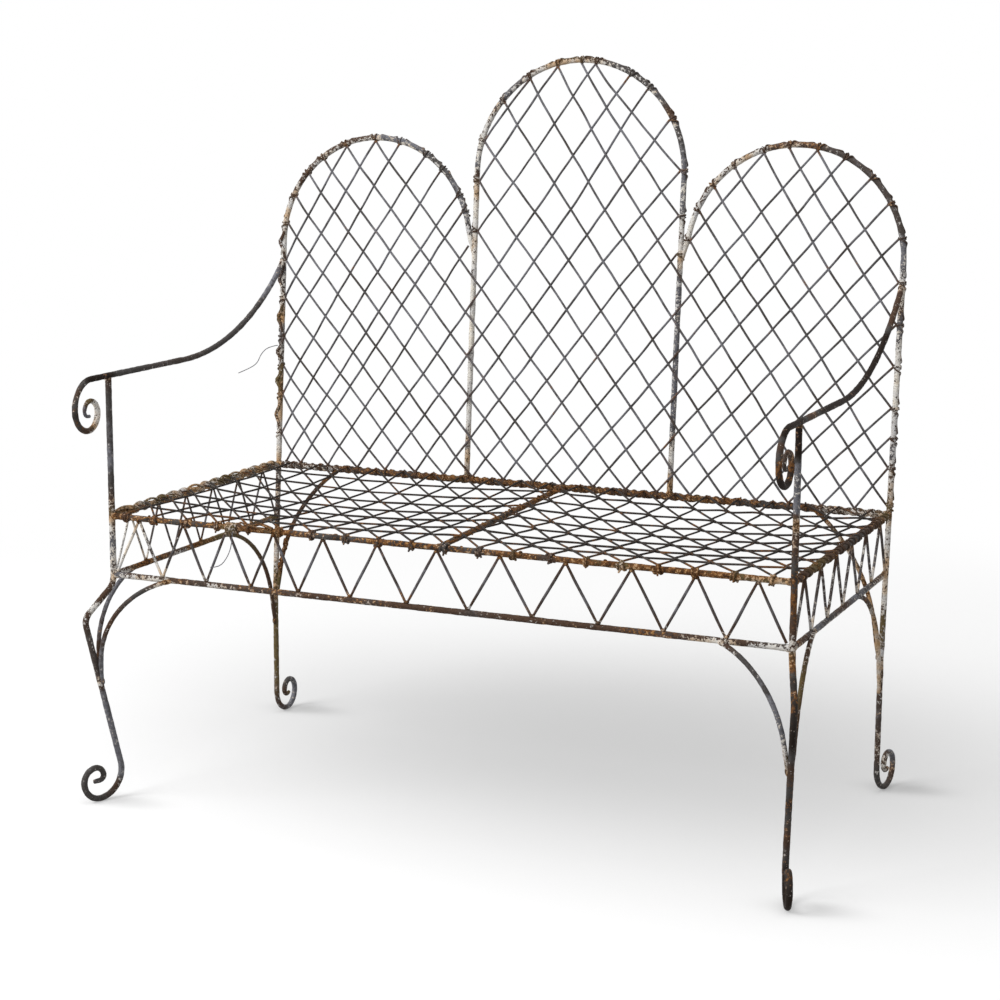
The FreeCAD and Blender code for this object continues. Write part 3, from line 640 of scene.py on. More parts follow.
seats = []
worst = (0, "")
for name, points in lines.items():
    radius = radius_of(name)
    first = len(seats)
    along = 0
    for i, place in enumerate(points):
        along += (place - points[i - 1]).length if i else 0
        ahead = points[min(i + 1, len(points) - 1)] - points[max(i - 1, 0)]
        seats.append(Seat(place, ahead.normalized(), radius, name, along))
    bar = [(seat.place, thickness_at(seat, along)) for seat in seats[first:]]
    rod = draw_bars(name + "_bar", [bar], radius, ROD_SIDES)
    roughen(rod)
    settle(rod, slots[name], name)
    box = [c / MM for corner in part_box(name) for c in corner]
    drawn = [pick(p[i] for p in points) for pick in (min, max) for i in range(3)]
    worst = max(worst, (max(abs(a - b) for a, b in zip(box, drawn)), name))
print("rods drawn:", len(lines), "most from centre line to solid's box: %.1f mm, %s" % worst)

# %% [markdown]
# A k-d tree answers quickly which place of a rod is nearest to a point. Each rod is stained from
# its own tree, so a neighbour's finish never spills over. Rain takes the paint off the faces that
# look up, and leaves more of it on those that look down.

# %% Stains of the rods
WASHED, SHELTERED = 0.6, 0.3


def tree_of(found):
    """A tree of the places of some seats."""
    tree = kdtree.KDTree(len(found))
    for i, seat in enumerate(found):
        tree.insert(seat.place, i)
    tree.balance()
    return tree


seat_tree = tree_of(seats)


def seat_near(place):
    return seats[seat_tree.find(place)[1]]


def rod_wear(name):
    """The finish of a rod, with less paint above and more below."""
    own = [seat for seat in seats if seat.rod == name]
    tree = tree_of(own)

    def wear_at(place, normal):
        amounts = finish_at(WEAR[name], own[tree.find(place)[1]].along)
        amounts[0] *= 1 - WASHED * max(normal.z, 0) + SHELTERED * max(-normal.z, 0)
        return amounts

    return wear_at


for name in lines:
    stain(bpy.data.objects[name + "_bar"], rod_wear(name))
print("stained rods:", len(lines))

# %% [markdown]
# ## Reading the wires of the frame
#
# Every wire of the back and seat is a solid of its own inside its node. The mesh of a node is
# loose triangles, so points at the same place are joined first. What hangs together is then
# one wire, and the middle of each ring of points is a point of its centre line.


# %% Solids of a node
GRID = 20


def solids_of(name):
    """The points of each solid of a node, in millimetres."""
    mesh = frame["nodes"][name].data
    parent = {}

    def root(key):
        while parent[key] != key:
            parent[key] = parent[parent[key]]
            key = parent[key]
        return key

    keys = [tuple(round(c * (1000 * GRID)) for c in v.co) for v in mesh.vertices]
    for key in keys:
        parent.setdefault(key, key)
    for face in mesh.polygons:
        first = root(keys[face.vertices[0]])
        for index in face.vertices[1:]:
            parent[root(keys[index])] = first
    found = {}
    for key in parent:
        found.setdefault(root(key), []).append(Vector(key) / GRID)
    return [found[key] for key in sorted(found)]


print("solids in the rising wires:", len(solids_of("back_mesh_rising")))

# %% [markdown]
# The points of a wire stand in rings. Sorted along the wire, a gap shows where a new ring starts.

# %% Centre lines of the wires
RING_GAP = 6


def centre_line(points):
    """The middle of each ring of points along a wire."""
    middle = sum(points, Vector()) / len(points)
    end = max(points, key=lambda p: (p - middle).length)
    other = max(points, key=lambda p: (p - end).length)
    run = (other - end).normalized()
    rings = []
    for point in sorted(points, key=lambda p: (p - end).dot(run)):
        distance = (point - end).dot(run)
        if not rings or distance - rings[-1][0] > RING_GAP:
            rings.append((distance, []))
        rings[-1][1].append(point)
    return [sum(ring, Vector()) / len(ring) for _, ring in rings]


WIRE_NODES = ("back_mesh_rising", "back_mesh_falling",
              "seat_mesh_lengthwise", "seat_mesh_crosswise", "seat_mesh_diagonal")
wires = [(name, centre_line(points)) for name in WIRE_NODES for points in solids_of(name)]
print("wires:", len(wires), "most points in one:", max(len(line) for _, line in wires))

# %% [markdown]
# ## Where the wires are tied
#
# On the real bench two wires meet at nearly every tie: one comes up, turns round the rod and
# goes down again. So each wire end looks for the nearest end of the other set on the same rod.
# Where one is close, both go to a tie half way between them.

# %% Tie places
PAIRS = (("back_mesh_rising", "back_mesh_falling"), ("seat_mesh_crosswise", "seat_mesh_diagonal"))
PAIR_REACH = 36
HOLDERS = {
    "back": ("back_arch_left", "back_arch_centre", "back_arch_right", "seat_rear_rail"),
    "seat": ("seat_front_rail", "seat_rear_rail", "seat_left_rail", "seat_right_rail"),
}
ends = {}
for number, (family, line) in enumerate(wires):
    holders = HOLDERS[family[:4]]
    for end, place in enumerate((line[0], line[-1])):
        index = seat_tree.find(place, filter=lambda i: seats[i].rod in holders)[1]
        ends.setdefault(seats[index].rod, {})[number, end] = index

tie_of = {}
ties = {}
for rod, free in ends.items():
    close = []
    for first, second in PAIRS:
        firsts = [key for key in free if wires[key[0]][0] == first]
        seconds = [key for key in free if wires[key[0]][0] == second]
        close += [(abs(free[a] - free[b]), a, b) for a in firsts for b in seconds]
    for gap, a, b in sorted(close):
        if gap * Jig.STEP < PAIR_REACH and a in free and b in free:
            middle = (free.pop(a) + free.pop(b)) // 2
            tie_of[a] = tie_of[b] = middle
    tie_of.update(free)
for (number, _), index in tie_of.items():
    ties.setdefault(seats[index].rod, {}).setdefault(index, wires[number][0])
for rod, found in sorted(ties.items()):
    print(rod, len(found), "ties")

# %% [markdown]
# ## Wires of the back
#
# The ends of a wire lie against the inner edge of the rod, so a rod of the back has to know which
# side is inside: the panel's middle line tells it, or the middle of the arch higher up.

# %% Ends of the wires
IN_FRONT = 2


def outside_of(seat):
    """The direction away from the middle of the panel that a rod of the back encloses."""
    height = (seat.place - back_point(0, 0)).dot(UP_BACK)
    if seat.rod == "seat_rear_rail":
        return -UP_BACK
    if seat.rod == "back_arch_centre":
        middle = back_point(0, min(CENTRE_SPRING, height))
    else:
        side = math.copysign((HALF_WIDTH + SIDE_INNER) / 2, seat.place.x)
        middle = back_point(side, min(SIDE_SPRING, height))
    return (seat.place - middle).normalized()


def tie_place(number, end, front):
    """Where an end of a wire lies on its rod: on the inner edge in the back, on top in the seat."""
    seat = seats[tie_of[number, end]]
    if front is OFF_BACK:
        return seat.place - outside_of(seat) * (seat.radius + MESH * 0.5) + front * IN_FRONT
    return seat.place + front * (seat.radius + MESH * 0.8)


print("wire ends on a rod:", len(tie_of))


# %% [markdown]
# A wire laid by hand is never quite straight. Points along it stray a little, and its ends come
# down on the rod at the tie. A smooth curve through these points gives the wire. Two short wires
# near the tops of arches lie along the back of the rod. Rust shows where a wire lies on a rod.

# %% Wires of the back
STRAY, STRAY_STEP = 0.8, 24
LANDING, LOOSENING = 34, 30
DRAWN_ASIDE = 210
CORNER_WIRE = 100
BACK_WIRE = MESH * 1.28


def uneven(amount):
    """A thickness that differs a little from place to place."""
    return 1 + amount * dice.uniform(-1, 1)


def lay_wire(number):
    """Places along a wire from tie to tie, with the small bends of a hand."""
    line = wires[number][1]
    front = OFF_BACK
    shifts = [tie_place(number, 0, front) - line[0], tie_place(number, 1, front) - line[-1]]
    length = (line[-1] - line[0]).length
    first, last = sorted((tie_of[number, 0], tie_of[number, 1]))
    if length < CORNER_WIRE and seats[first].rod == seats[last].rod:
        behind = seats[first].radius + MESH * 0.6
        return [(seat.place - front * behind, 1) for seat in seats[first:last + 1]]
    steps = max(3, round(length / STRAY_STEP))
    bar = []
    for i in range(steps + 1):
        share = i / steps
        place = line[0].lerp(line[-1], share)
        for shift, away in zip(shifts, (share * length, (1 - share) * length)):
            lift = front * shift.dot(front)
            drawn = max(0, 1 - away / min(DRAWN_ASIDE, length))
            place = place + (shift - lift) * drawn + lift * max(0, 1 - away / LANDING)
        sway = Vector((dice.uniform(-1, 1), dice.uniform(-1, 1), dice.uniform(-1, 1)))
        loose = min(1, share * length / LOOSENING, (1 - share) * length / LOOSENING)
        place += (sway - front * (0.6 * sway.dot(front))) * STRAY * loose
        bar.append((place, uneven(0.06)))
    return bar


def numbers_of(family):
    return [i for i, (name, _) in enumerate(wires) if name == family]


def closeness(place, gap, fade):
    """1 on a rod, and 0 from a gap and a fade away from its middle."""
    return max(0, 1 - max(seat_tree.find(place)[2] - gap, 0) / fade)


def back_wire_wear(place, normal):
    """Grey wire, darker in places, and brown where it lies on a rod."""
    near = closeness(place, 7, 9)
    patch = noise.noise(place / 45)
    rust = 0.12 + 0.3 * near + 0.22 * max(patch, 0)
    slate = 0.46 + 0.35 * noise.noise(place / 60)
    return (0.04, rust, slate, 0.34 + 0.3 * near + 0.1 * patch)


for name in ("back_mesh_rising", "back_mesh_falling"):
    bars = [lay_wire(number) for number in numbers_of(name)]
    make_wires(name + "_wire", bars, BACK_WIRE, back_wire_wear, name)

# %% [markdown]
# ## Wires of the seat
#
# In the seat three sets of wire cross: lengthwise, crosswise and diagonal. Where they meet, the
# lengthwise and crosswise wires are twisted round the diagonal one for a short way, so a meeting
# has two points, one at each end of the twist. On the right half these twists are long. People
# have pressed the seat down on both sides of the cross rod.

# %% Meetings of the seat wires
SAG = 17
MIDDLE = 4
COLUMN_GAP, ROW_GAP = 2 * HALF_WIDTH / 20, SEAT_DEPTH / 8
DIAGONAL = Vector((COLUMN_GAP, -ROW_GAP, 0)).normalized()


def seat_sag(place):
    """How far the seat is pressed down at a place."""
    left, right = (-HALF_WIDTH, MIDDLE) if place.x < MIDDLE else (MIDDLE, HALF_WIDTH)
    across = min(max((place.x - left) / (right - left), 0), 1)
    deep = min(max((place.y - FRONT) / SEAT_DEPTH, 0), 1) ** 1.2
    return SAG * max(math.sin(math.pi * across) * math.sin(math.pi * deep), 0) ** 0.6


def seat_ends(number, direction):
    """Both ends of a seat wire on their rails, in order along a direction."""
    return sorted((tie_place(number, end, Z) for end in (0, 1)), key=direction.dot)


by_row = sorted(numbers_of("seat_mesh_lengthwise"), key=lambda i: wires[i][1][0].y)
rows = [wires[i][1][0].y for i in by_row]
columns = [seat_ends(i, Y) for i in numbers_of("seat_mesh_crosswise")]
columns.sort(key=lambda column: column[0].x)

LONG_TWIST, SHORT_TWIST = (5, 9), (0.5, 4)
meetings = {}
for c, (front_end, rear_end) in enumerate(columns):
    for r, y in enumerate(rows):
        middle = front_end.lerp(rear_end, (y - front_end.y) / (rear_end.y - front_end.y))
        middle += Vector((dice.uniform(-1.5, 1.5), dice.uniform(-2.5, 2.5), 0))
        half = dice.uniform(*(LONG_TWIST if middle.x > MIDDLE else SHORT_TWIST))
        meetings[c, r] = (middle - DIAGONAL * half, middle + DIAGONAL * half)
print("rows:", len(rows), "columns:", len(columns), "meetings:", len(meetings))


# %% [markdown]
# Each set goes through its own points of the meetings, one layer above the other. The diagonal
# wires take the meetings that lie close to their straight line. The wire is dark, and rusty on
# the rails and along the front, where knees have rubbed it.

# %% Wires of the seat
SEAT_WIRE_HEIGHT, LAYER = 448, 1.3
SEAT_WIRE = MESH * 1.14
LONG_STRETCH = 26
MEETING_REACH = 17


def seat_bar(places, lift):
    """A wire through places on the seat, pressed down with it. Its ends stay on the rails."""
    bar = [(places[0], 1)]
    for before, place in zip(places, places[1:-1]):
        spots = [place]
        if (place - before).length > LONG_STRETCH:
            spots.insert(0, before.lerp(place, 0.5))
        for spot in spots:
            dice.uniform(-0.6, 0.6)  # unused: it keeps the later draws in their order
            height = SEAT_WIRE_HEIGHT + lift - seat_sag(spot)
            bar.append((Vector((spot.x, spot.y, height)), uneven(0.1)))
    return bar + [(places[-1], 1)]


def diagonal_places(rear_end, front_end):
    """The points of the meetings close to a diagonal wire."""
    run = front_end - rear_end
    places = []
    for _, (first, second) in sorted(meetings.items()):
        middle = (first + second) / 2
        share = (middle - rear_end).dot(run) / run.length_squared
        aside = (middle - rear_end.lerp(front_end, share)).to_2d().length
        if 0 < share < 1 and aside < MEETING_REACH:
            places += [first, second]
    return places


seat_bars = {"seat_mesh_lengthwise": [], "seat_mesh_crosswise": [], "seat_mesh_diagonal": []}
for r, number in enumerate(by_row):
    left_end, right_end = seat_ends(number, X)
    places = [point for c in range(len(columns)) for point in meetings[c, r]]
    seat_bars["seat_mesh_lengthwise"].append(seat_bar([left_end, *places, right_end], -LAYER))
for c, (front_end, rear_end) in enumerate(columns):
    places = [point for r in range(len(rows)) for point in reversed(meetings[c, r])]
    seat_bars["seat_mesh_crosswise"].append(seat_bar([front_end, *places, rear_end], 0))
for number in numbers_of("seat_mesh_diagonal"):
    rear_end, front_end = seat_ends(number, X)
    places = diagonal_places(rear_end, front_end)
    seat_bars["seat_mesh_diagonal"].append(seat_bar([rear_end, *places, front_end], LAYER))


def seat_wire_wear(place, normal):
    """Dark wire, rusty on the rods and along the front."""
    near = closeness(place, 8, 14)
    knees = max(0, 1 - (place.y - FRONT) / 110) * max(noise.noise(place / 33) + 0.15, 0)
    rust = 0.22 + 0.3 * near + 0.9 * knees + 0.3 * max(noise.noise(place / 50), 0)
    return (0.02 + 0.2 * knees, rust, 0.05, 0.12 + 0.5 * knees)


for name, bars in seat_bars.items():
    make_wires(name + "_wire", bars, SEAT_WIRE, seat_wire_wear, name)

# %% [markdown]
# ## Zigzag wires of the apron
#
# Under the seat a single wire runs in zigzags between the two rails. It is bent round a small
# former at each rail, so each corner gets two points close together. The front triangles
# aren't even: the maker crowded them at the left end and spread them at the right.


# %% Zigzags
FULL = 2 * math.pi


def zigzag_corners(start, direction, span, triangles, drift, lean):
    """Corner places of a zigzag, low and high in turn."""
    corners = []
    for corner in range(2 * triangles + 1):
        share = corner / (2 * triangles)
        turn = FULL * share
        lag = (drift * (1 - math.cos(turn)) + lean * math.sin(turn)) / FULL
        place = start + direction * (span * (share - lag))
        place.z = SEAT_HEIGHT - RAIL - ZIGZAG if corner % 2 else APRON_HEIGHT + RAIL + ZIGZAG
        corners.append(place)
    return corners


CORNER, BOW = 1.8, 0.4


def zigzag_bar(corners, direction):
    """A wire from corner to corner, with a small round bend at each."""
    bends = [[corners[0]]]
    bends += [[place - direction * CORNER, place + direction * CORNER] for place in corners[1:-1]]
    bends += [[corners[-1]]]
    bar = []
    for bend, ahead in zip(bends, bends[1:] + [None]):
        bar += [(place, 1) for place in bend]
        for share in (0.3, 0.7) if ahead else ():
            sway = Vector((dice.uniform(-1, 1), dice.uniform(-1, 1), 0))
            bar.append((bend[-1].lerp(ahead[0], share) + sway * BOW, uneven(0.06)))
    return bar


ZIGZAG_END = ROD + 2 * ZIGZAG
front_span = 2 * (HALF_WIDTH - ZIGZAG_END)
side_start = FRONT + ZIGZAG_END
side_span = upright_depth(APRON_HEIGHT) - ZIGZAG_END - side_start
zigzags = {"zigzag_front": (X, zigzag_corners(
    Vector((-front_span / 2, FRONT, 0)), X, front_span, triangles=12, drift=0.114, lean=0.074))}
for side, x in (("left", -HALF_WIDTH), ("right", HALF_WIDTH)):
    zigzags[f"zigzag_{side}"] = (Y, zigzag_corners(
        Vector((x, side_start, 0)), Y, side_span, triangles=6, drift=0, lean=0))
print("corners:", [len(corners) for _, corners in zigzags.values()])

# %% [markdown]
# Old paint has made the front and right wires thicker than the left one. It is left low down, at
# the left end of the front and on the right wire. The wire has rusted where it meets a rail.

# %% Zigzag wires
COATED = {"zigzag_front": 1.36, "zigzag_left": 1.05, "zigzag_right": 1.36}


def zigzag_wear(place, normal):
    """Grey brown wire, rusty at the rails, and painted low down and at the left and right."""
    low = max(0, 1 - (place.z - APRON_HEIGHT) / 26)
    end = max(low, 1 - (SEAT_HEIGHT - place.z) / 17, 0)
    corner = max(0, 1 - (math.hypot(place.x + HALF_WIDTH, place.y - FRONT)) / 190)
    right = 0.28 if place.x > HALF_WIDTH - ROD else 0
    patch = noise.noise(place / 22)
    paint = 0.08 + 0.45 * low + 0.6 * corner + right + 0.15 * patch
    rust = 0.14 + 0.35 * end + 0.2 * patch
    return (paint, rust, 0.42 - 0.3 * end + 0.3 * patch, 0.42 + 0.3 * end)


for name, (direction, corners) in zigzags.items():
    bars = [zigzag_bar(corners, direction)]
    make_wires(name + "_wire", bars, ZIGZAG * COATED[name], zigzag_wear, name, smooth=False)

# %% [markdown]
# ## Ties
#
# A wire runs along the outer edge of each arch, half sunk in the paint, and winds round the rod at
# each tie, so a slanting band crosses it there. A cut end stands off as a small nub. All of these
# are bars like the others, laid by an angle round the rod and a distance along it.


# %% Turns of wire round a rod
def spoke(seat, front, angle):
    """A direction off a rod: angle 0 is the front, and it turns about the rod."""
    ahead = (front - seat.heading * front.dot(seat.heading)).normalized()
    side = seat.heading.cross(ahead)
    return ahead * math.cos(angle) + side * math.sin(angle)


def turns_bar(index, front, turns, rise, start, wire):
    """Turns of wire round the rod at a seat."""
    seat = seats[index]
    steps = round(10 * turns)
    bar = []
    for i in range(steps + 1):
        share = i / steps
        off = spoke(seat, front, start + FULL * turns * share) * (seat.radius + wire * 0.8)
        on_rod = seat.place + seat.heading * (rise * (share - 0.5))
        bar.append((on_rod + off, 1 + dice.uniform(-0.12, 0.2)))
    return bar


def nub_bar(seat, direction, length):
    """A cut end that stands off a rod."""
    lean = seat.heading * dice.uniform(-0.6, 0.6)
    away = (direction + lean).normalized()
    foot = seat.place + direction * (seat.radius * 0.8)
    reach = seat.radius * 0.2 + length
    return [(foot, 1.2), (foot + away * (reach * 0.6), 1.1), (foot + away * reach, 0.8)]


# %% [markdown]
# The wire along an arch rests at one angle on its outer edge. At each tie it makes a full turn
# round the rod while it moves on, and then rests at a slightly other angle.

# %% A wire along the edge of an arch
SLANT, TURN_STEPS = 18, 12
EDGE = 1.75


def selvage_bar(marks, front, wire):
    """A wire that runs along the outer edge of a rod and winds once round it at each mark."""
    bar = []
    marks = sorted(marks)
    start = seats[marks[0]]
    outer = math.copysign(1, start.heading.cross(front).dot(outside_of(start)))
    resting = outer * EDGE
    for mark, ahead in zip(marks, marks[1:] + [marks[-1]]):
        next_resting = outer * (EDGE + dice.uniform(-0.35, 0.45))
        turn = next_resting + outer * FULL - resting
        seat = seats[mark]
        for step in range(TURN_STEPS + 1):
            share = step / TURN_STEPS
            off = spoke(seat, front, resting + turn * share) * (seat.radius + wire * 0.8)
            on_rod = seat.place + seat.heading * (SLANT * (share - 0.5))
            bar.append((on_rod + off, 1 + dice.uniform(-0.05, 0.2)))
        resting = next_resting
        for seat in seats[mark + 4:ahead - 3:3]:
            bar.append((seat.place + spoke(seat, front, resting) * (seat.radius * 0.75), 1))
    return bar


# %% [markdown]
# On the left upright the wire between the ties is thick and loose: it crosses the front of the rod
# and bulges out beyond it half way. The ties take the finish of the rod below, with less paint.

# %% Ties of the arches
CLEAR_OF_END = 20
LEFT_UPRIGHT = -520
LOOSE_SPAN = 34
LOOSE_PLACES = ((0, 1, 0), (0.22, 0.5, 0), (0.42, 0, 0.7), (0.5, 0, 1.45), (0.58, 0, 0.7),
                (0.78, 0.5, 0), (1, 1, 0))


def loose_bar(mark, ahead, wire):
    """A thick wire between two ties, through places that are so far along, in and out."""
    bar = []
    for share, inner, outer in LOOSE_PLACES:
        seat = seats[round(mark + (ahead - mark) * share)]
        bulge = min(outer, 1)
        across = outside_of(seat) * (outer - inner) * (seat.radius + wire * 0.6)
        lift = OFF_BACK * ((1 - inner) * (1 - bulge) * seat.radius + seat.radius * 0.75)
        bar.append((seat.place + across + lift, 1.35 + 0.4 * bulge + dice.uniform(-0.1, 0.2)))
    return bar


def tie_wear(place, normal):
    """The finish of the rod below with less paint. The front rail has more paint and rust."""
    seat = seat_near(place)
    paint, rust, slate, warmth = finish_at(WEAR[seat.rod], seat.along)
    patch = noise.noise(place / 15)
    flaked, rusted = (0.45 if "arch" in seat.rod else 0.65) * paint, 0.14 + 0.4 * rust
    if seat.rod == "seat_front_rail":
        flaked, rusted = flaked + 0.14, 0.2 + 0.5 * rust
    return (flaked + 0.25 * patch, rusted + 0.25 * patch, 0.4 * slate, 0.2 + 0.75 * warmth)


for side in ("left", "centre", "right"):
    found = ties[f"back_arch_{side}"]
    marks = [index for index in found if seats[index].along > CLEAR_OF_END]
    bars = [selvage_bar(marks, OFF_BACK, TIE)]
    for mark in marks:
        seat = seats[mark]
        turns, rise = dice.uniform(1.2, 1.8), dice.uniform(3, 7)
        bars.append(turns_bar(mark, OFF_BACK, turns, rise, 2, TIE * 0.9))
        bars.append(nub_bar(seat, outside_of(seat), dice.uniform(1.2, 3.2)))
    bumpy = sorted(mark for mark in marks if seats[mark].place.x < LEFT_UPRIGHT)
    for mark, ahead in zip(bumpy, bumpy[1:]):
        if (ahead - mark) * Jig.STEP > LOOSE_SPAN:
            bars += [loose_bar(mark, ahead, TIE), loose_bar(mark + 1, ahead + 1, TIE)]
    make_wires(f"ties_arch_{side}", bars, TIE * 1.1, tie_wear, f"wraps_arch_{side}")

# %% [markdown]
# The left, right and rear rails are wound from end to end, so that they look like rope. On the
# left rail, and on a short stretch of the front rail, loose wires also lie along the rail from
# tie to tie.

# %% Windings of the seat rails
WINDINGS = {"front": (0, 1), "rear": (3, 46), "left": (1, 44), "right": (2, 44)}
LAID = {"left": (0, 490, 4), "front": (206, 276, 3)}


def strand_bar(rod, pitch, phase):
    """A wire wound along the whole of a rail."""
    bar = []
    for seat in (seat for seat in seats if seat.rod == rod):
        angle = phase + FULL * seat.along / pitch + 0.6 * noise.noise(seat.place / 30)
        thickness = 1 + 0.35 * noise.noise(seat.place / 11 + Vector((phase, 0, 0)))
        bar.append((seat.place + spoke(seat, Z, angle) * (seat.radius + TIE * 0.6), thickness))
    return bar


def laid_bar(rod, start, end, angles, wire):
    """A wire laid along a rail from one tie to the next, from the top down to one side."""
    bar = []
    for seat in (seat for seat in seats if seat.rod == rod and start <= seat.along <= end):
        share = (seat.along - start) / (end - start)
        angle = angles[0] + (angles[1] - angles[0]) * share
        off = seat.radius + wire * 0.7 + 2.2 * wire * math.sin(math.pi * share) ** 2
        thickness = 1 + 0.25 * noise.noise(seat.place / 9 + Vector((angles[0], 0, 0)))
        bar.append((seat.place + spoke(seat, Z, angle) * off, thickness))
    return bar


def laid_bars(rod, first, last, strands):
    """Loose wires along a stretch of a rail, from tie to tie."""
    bars = []
    between = {seats[mark].along for mark in ties[rod] if first < seats[mark].along < last}
    stages = sorted(between | {first, last})
    for start, end in zip(stages, stages[1:]):
        for k in range(strands):
            angle = 0.55 * k - 0.9 + dice.uniform(-0.2, 0.2)
            bars.append(laid_bar(rod, start, end, (angle, angle + 1.5), TIE * 1.2))
    return [bar for bar in bars if len(bar) > 2]


# %% [markdown]
# A pair of turns closes each tie of the seat. On the front rail the ties are thick and knotted,
# with three cut ends at each, and near the left end they make one large knot.

# %% Ties of the seat rails
KNOT = 202
KNOT_TURNS = range(-2, 3)
ALL_ROUND = (0, 6.3)


def front_tie(mark, slant):
    """The second, wider turn of a tie on the front rail, and its cut ends."""
    seat = seats[mark]
    turns, start = dice.uniform(1.2, 2), dice.uniform(*ALL_ROUND)
    bars = [turns_bar(mark, Z, turns, -2 * slant, start, TIE * 2.2)]
    angles = (dice.uniform(2, 2.8), dice.uniform(3.3, 4), dice.uniform(-0.8, 0.8))
    for angle, length in zip(angles, (7, 5, 3.5)):
        bars.append(nub_bar(seat, spoke(seat, Z, angle), length * dice.uniform(0.6, 1.2)))
    return bars


def rail_nub(seat):
    """A cut end that looks up from a rail."""
    up = Vector((dice.uniform(-0.5, 0.5), dice.uniform(-0.5, 0.5), 1))
    direction = up - seat.heading * up.dot(seat.heading)
    return nub_bar(seat, direction.normalized(), dice.uniform(2, 5))


def knot_bars(rod):
    """Turns and cut ends crowded round one place of a rail."""
    bars = []
    own = [i for i, seat in enumerate(seats) if seat.rod == rod]
    knot = min(own, key=lambda i: abs(seats[i].along - KNOT))
    for index in (knot + k for k in KNOT_TURNS):
        turns, rise = dice.uniform(1.3, 2.2), dice.uniform(-9, 9)
        bars.append(turns_bar(index, Z, turns, rise, dice.uniform(*ALL_ROUND), TIE * 2))
        lean = Vector((dice.uniform(-0.6, 0.6), dice.uniform(-0.6, 0.1), -1))
        bars.append(nub_bar(seats[index], lean.normalized(), dice.uniform(3, 9)))
    return bars


for side, (strands, pitch) in WINDINGS.items():
    rod = f"seat_{side}_rail"
    bars = [strand_bar(rod, pitch, FULL * k / strands) for k in range(strands)]
    for mark in sorted(ties[rod]):
        slant = dice.choice((-1, 1)) * dice.uniform(3, 6)
        turns, start = dice.uniform(1.9, 2.8), dice.uniform(*ALL_ROUND)
        bars.append(turns_bar(mark, Z, turns, slant, start, TIE * 1.1))
        bars += front_tie(mark, slant) if side == "front" else [rail_nub(seats[mark])]
    if side in LAID:
        bars += laid_bars(rod, *LAID[side])
    if side == "front":
        bars += knot_bars(rod)
    wire = TIE * (1.35 if side == "front" else 1.2)
    make_wires(f"ties_seat_{side}", bars, wire, tie_wear, f"wraps_seat_{side}")

# %% [markdown]
# ## Welds and crusts of rust
#
# Where rods meet there is a bead of weld, never a sharp corner. Rust has also built up in crusts
# along the seat's rails, on the cross rod and on the left rear brace. One rough bead is modelled
# from an ico sphere, and copied to each place with its own size and turn.

# %% One bead
choose()
bpy.ops.mesh.primitive_ico_sphere_add(subdivisions=2, radius=1, location=(0, 0, 0))
bead = bpy.context.object
lumps = bead.modifiers.new("lumps", "DISPLACE")
lumps.texture = bpy.data.textures.new("bead_lumps", "CLOUDS")
lumps.texture.noise_scale = 0.6
lumps.strength = 0.5
bpy.ops.object.modifier_apply(modifier=lumps.name)
bpy.ops.object.shade_smooth()
print("faces of a bead:", len(bead.data.polygons))

# %% [markdown]
# A bead is put at each butt joint, notch and brace end, and a small one where the zigzag touches a
# rail. The crusts are strewn by chance over the stretches that have rusted most.

# %% Places of the beads
beads = []


def put_bead(place, heading, width, length):
    """Notes the place, direction and size of a bead in millimetres."""
    beads.append((Vector(place), heading, width, length))


for side, x in (("left", LEFT), ("right", RIGHT)):
    post_x, leg_x = math.copysign(HALF_WIDTH, x), math.copysign(CENTRE_LEG, x)
    for z in (SEAT_HEIGHT, APRON_HEIGHT):
        put_bead((x, FRONT, z), X, 5.6, 8)
        put_bead((post_x, FRONT + BUTT, z), Y, 5.2, 8)
        put_bead((post_x, upright_depth(z) - BUTT, z), Y, 5.6, 8)
    put_bead((x, REAR, SEAT_HEIGHT), X, 5.8, 9)
    arm_line = lines[f"arm_{side}"]
    put_bead(arm_line[0], (arm_line[1] - arm_line[0]).normalized(), 5.2, 7)
    put_bead(lines[f"front_post_{side}"][0], Z, 5.4, 6)
    notch = lines[f"back_arch_{side}"][3]
    put_bead(notch.lerp(Vector((leg_x, notch.y, notch.z)), 0.5), UP_BACK, 4.0, 10)
    put_bead(back_point(leg_x, RAIL), UP_BACK, 6.0, 7)
    for kind in BRACES:
        line = lines[f"{kind}_{side}"]
        start = next(p for p in line if (p - line[0]).length > RAIL)
        put_bead(start, (start - line[0]).normalized(), 4.2, 9)
        put_bead(line[-2], (line[-1] - line[-4]).normalized(), 3.6, 7)
for end in (0, -1):
    put_bead(lines["seat_cross_rod"][end], Y, 5.6, 8)
for direction, corners in zigzags.values():
    for place in corners[1:-1]:
        put_bead(place, direction, 2.5, 4.5)
weld_count = len(beads)

CRUSTS = (("seat_rear_rail", 330, 1000, 90), ("seat_rear_rail", 0, 330, 16),
          ("seat_front_rail", 0, 320, 26), ("seat_front_rail", 320, 1050, 16),
          ("seat_cross_rod", 0, 500, 26), ("seat_left_rail", 0, 490, 30),
          ("rear_brace_left", 160, 214, 26))
for rod, start, end, count in CRUSTS:
    own = [seat for seat in seats if seat.rod == rod and start <= seat.along <= end]
    for _ in range(count):
        seat = dice.choice(own)
        place = seat.place + spoke(seat, Z, dice.uniform(-2.4, 2.4)) * seat.radius
        put_bead(place, seat.heading, dice.uniform(1.4, 2.6), dice.uniform(2, 4.5))
print("weld beads:", weld_count, "crusts of rust:", len(beads) - weld_count)

# %% [markdown]
# Each copy has its own mesh, and is turned along its rod and by chance about it. The copies are
# joined into one piece, with their places applied, so that the piece sits at the origin.

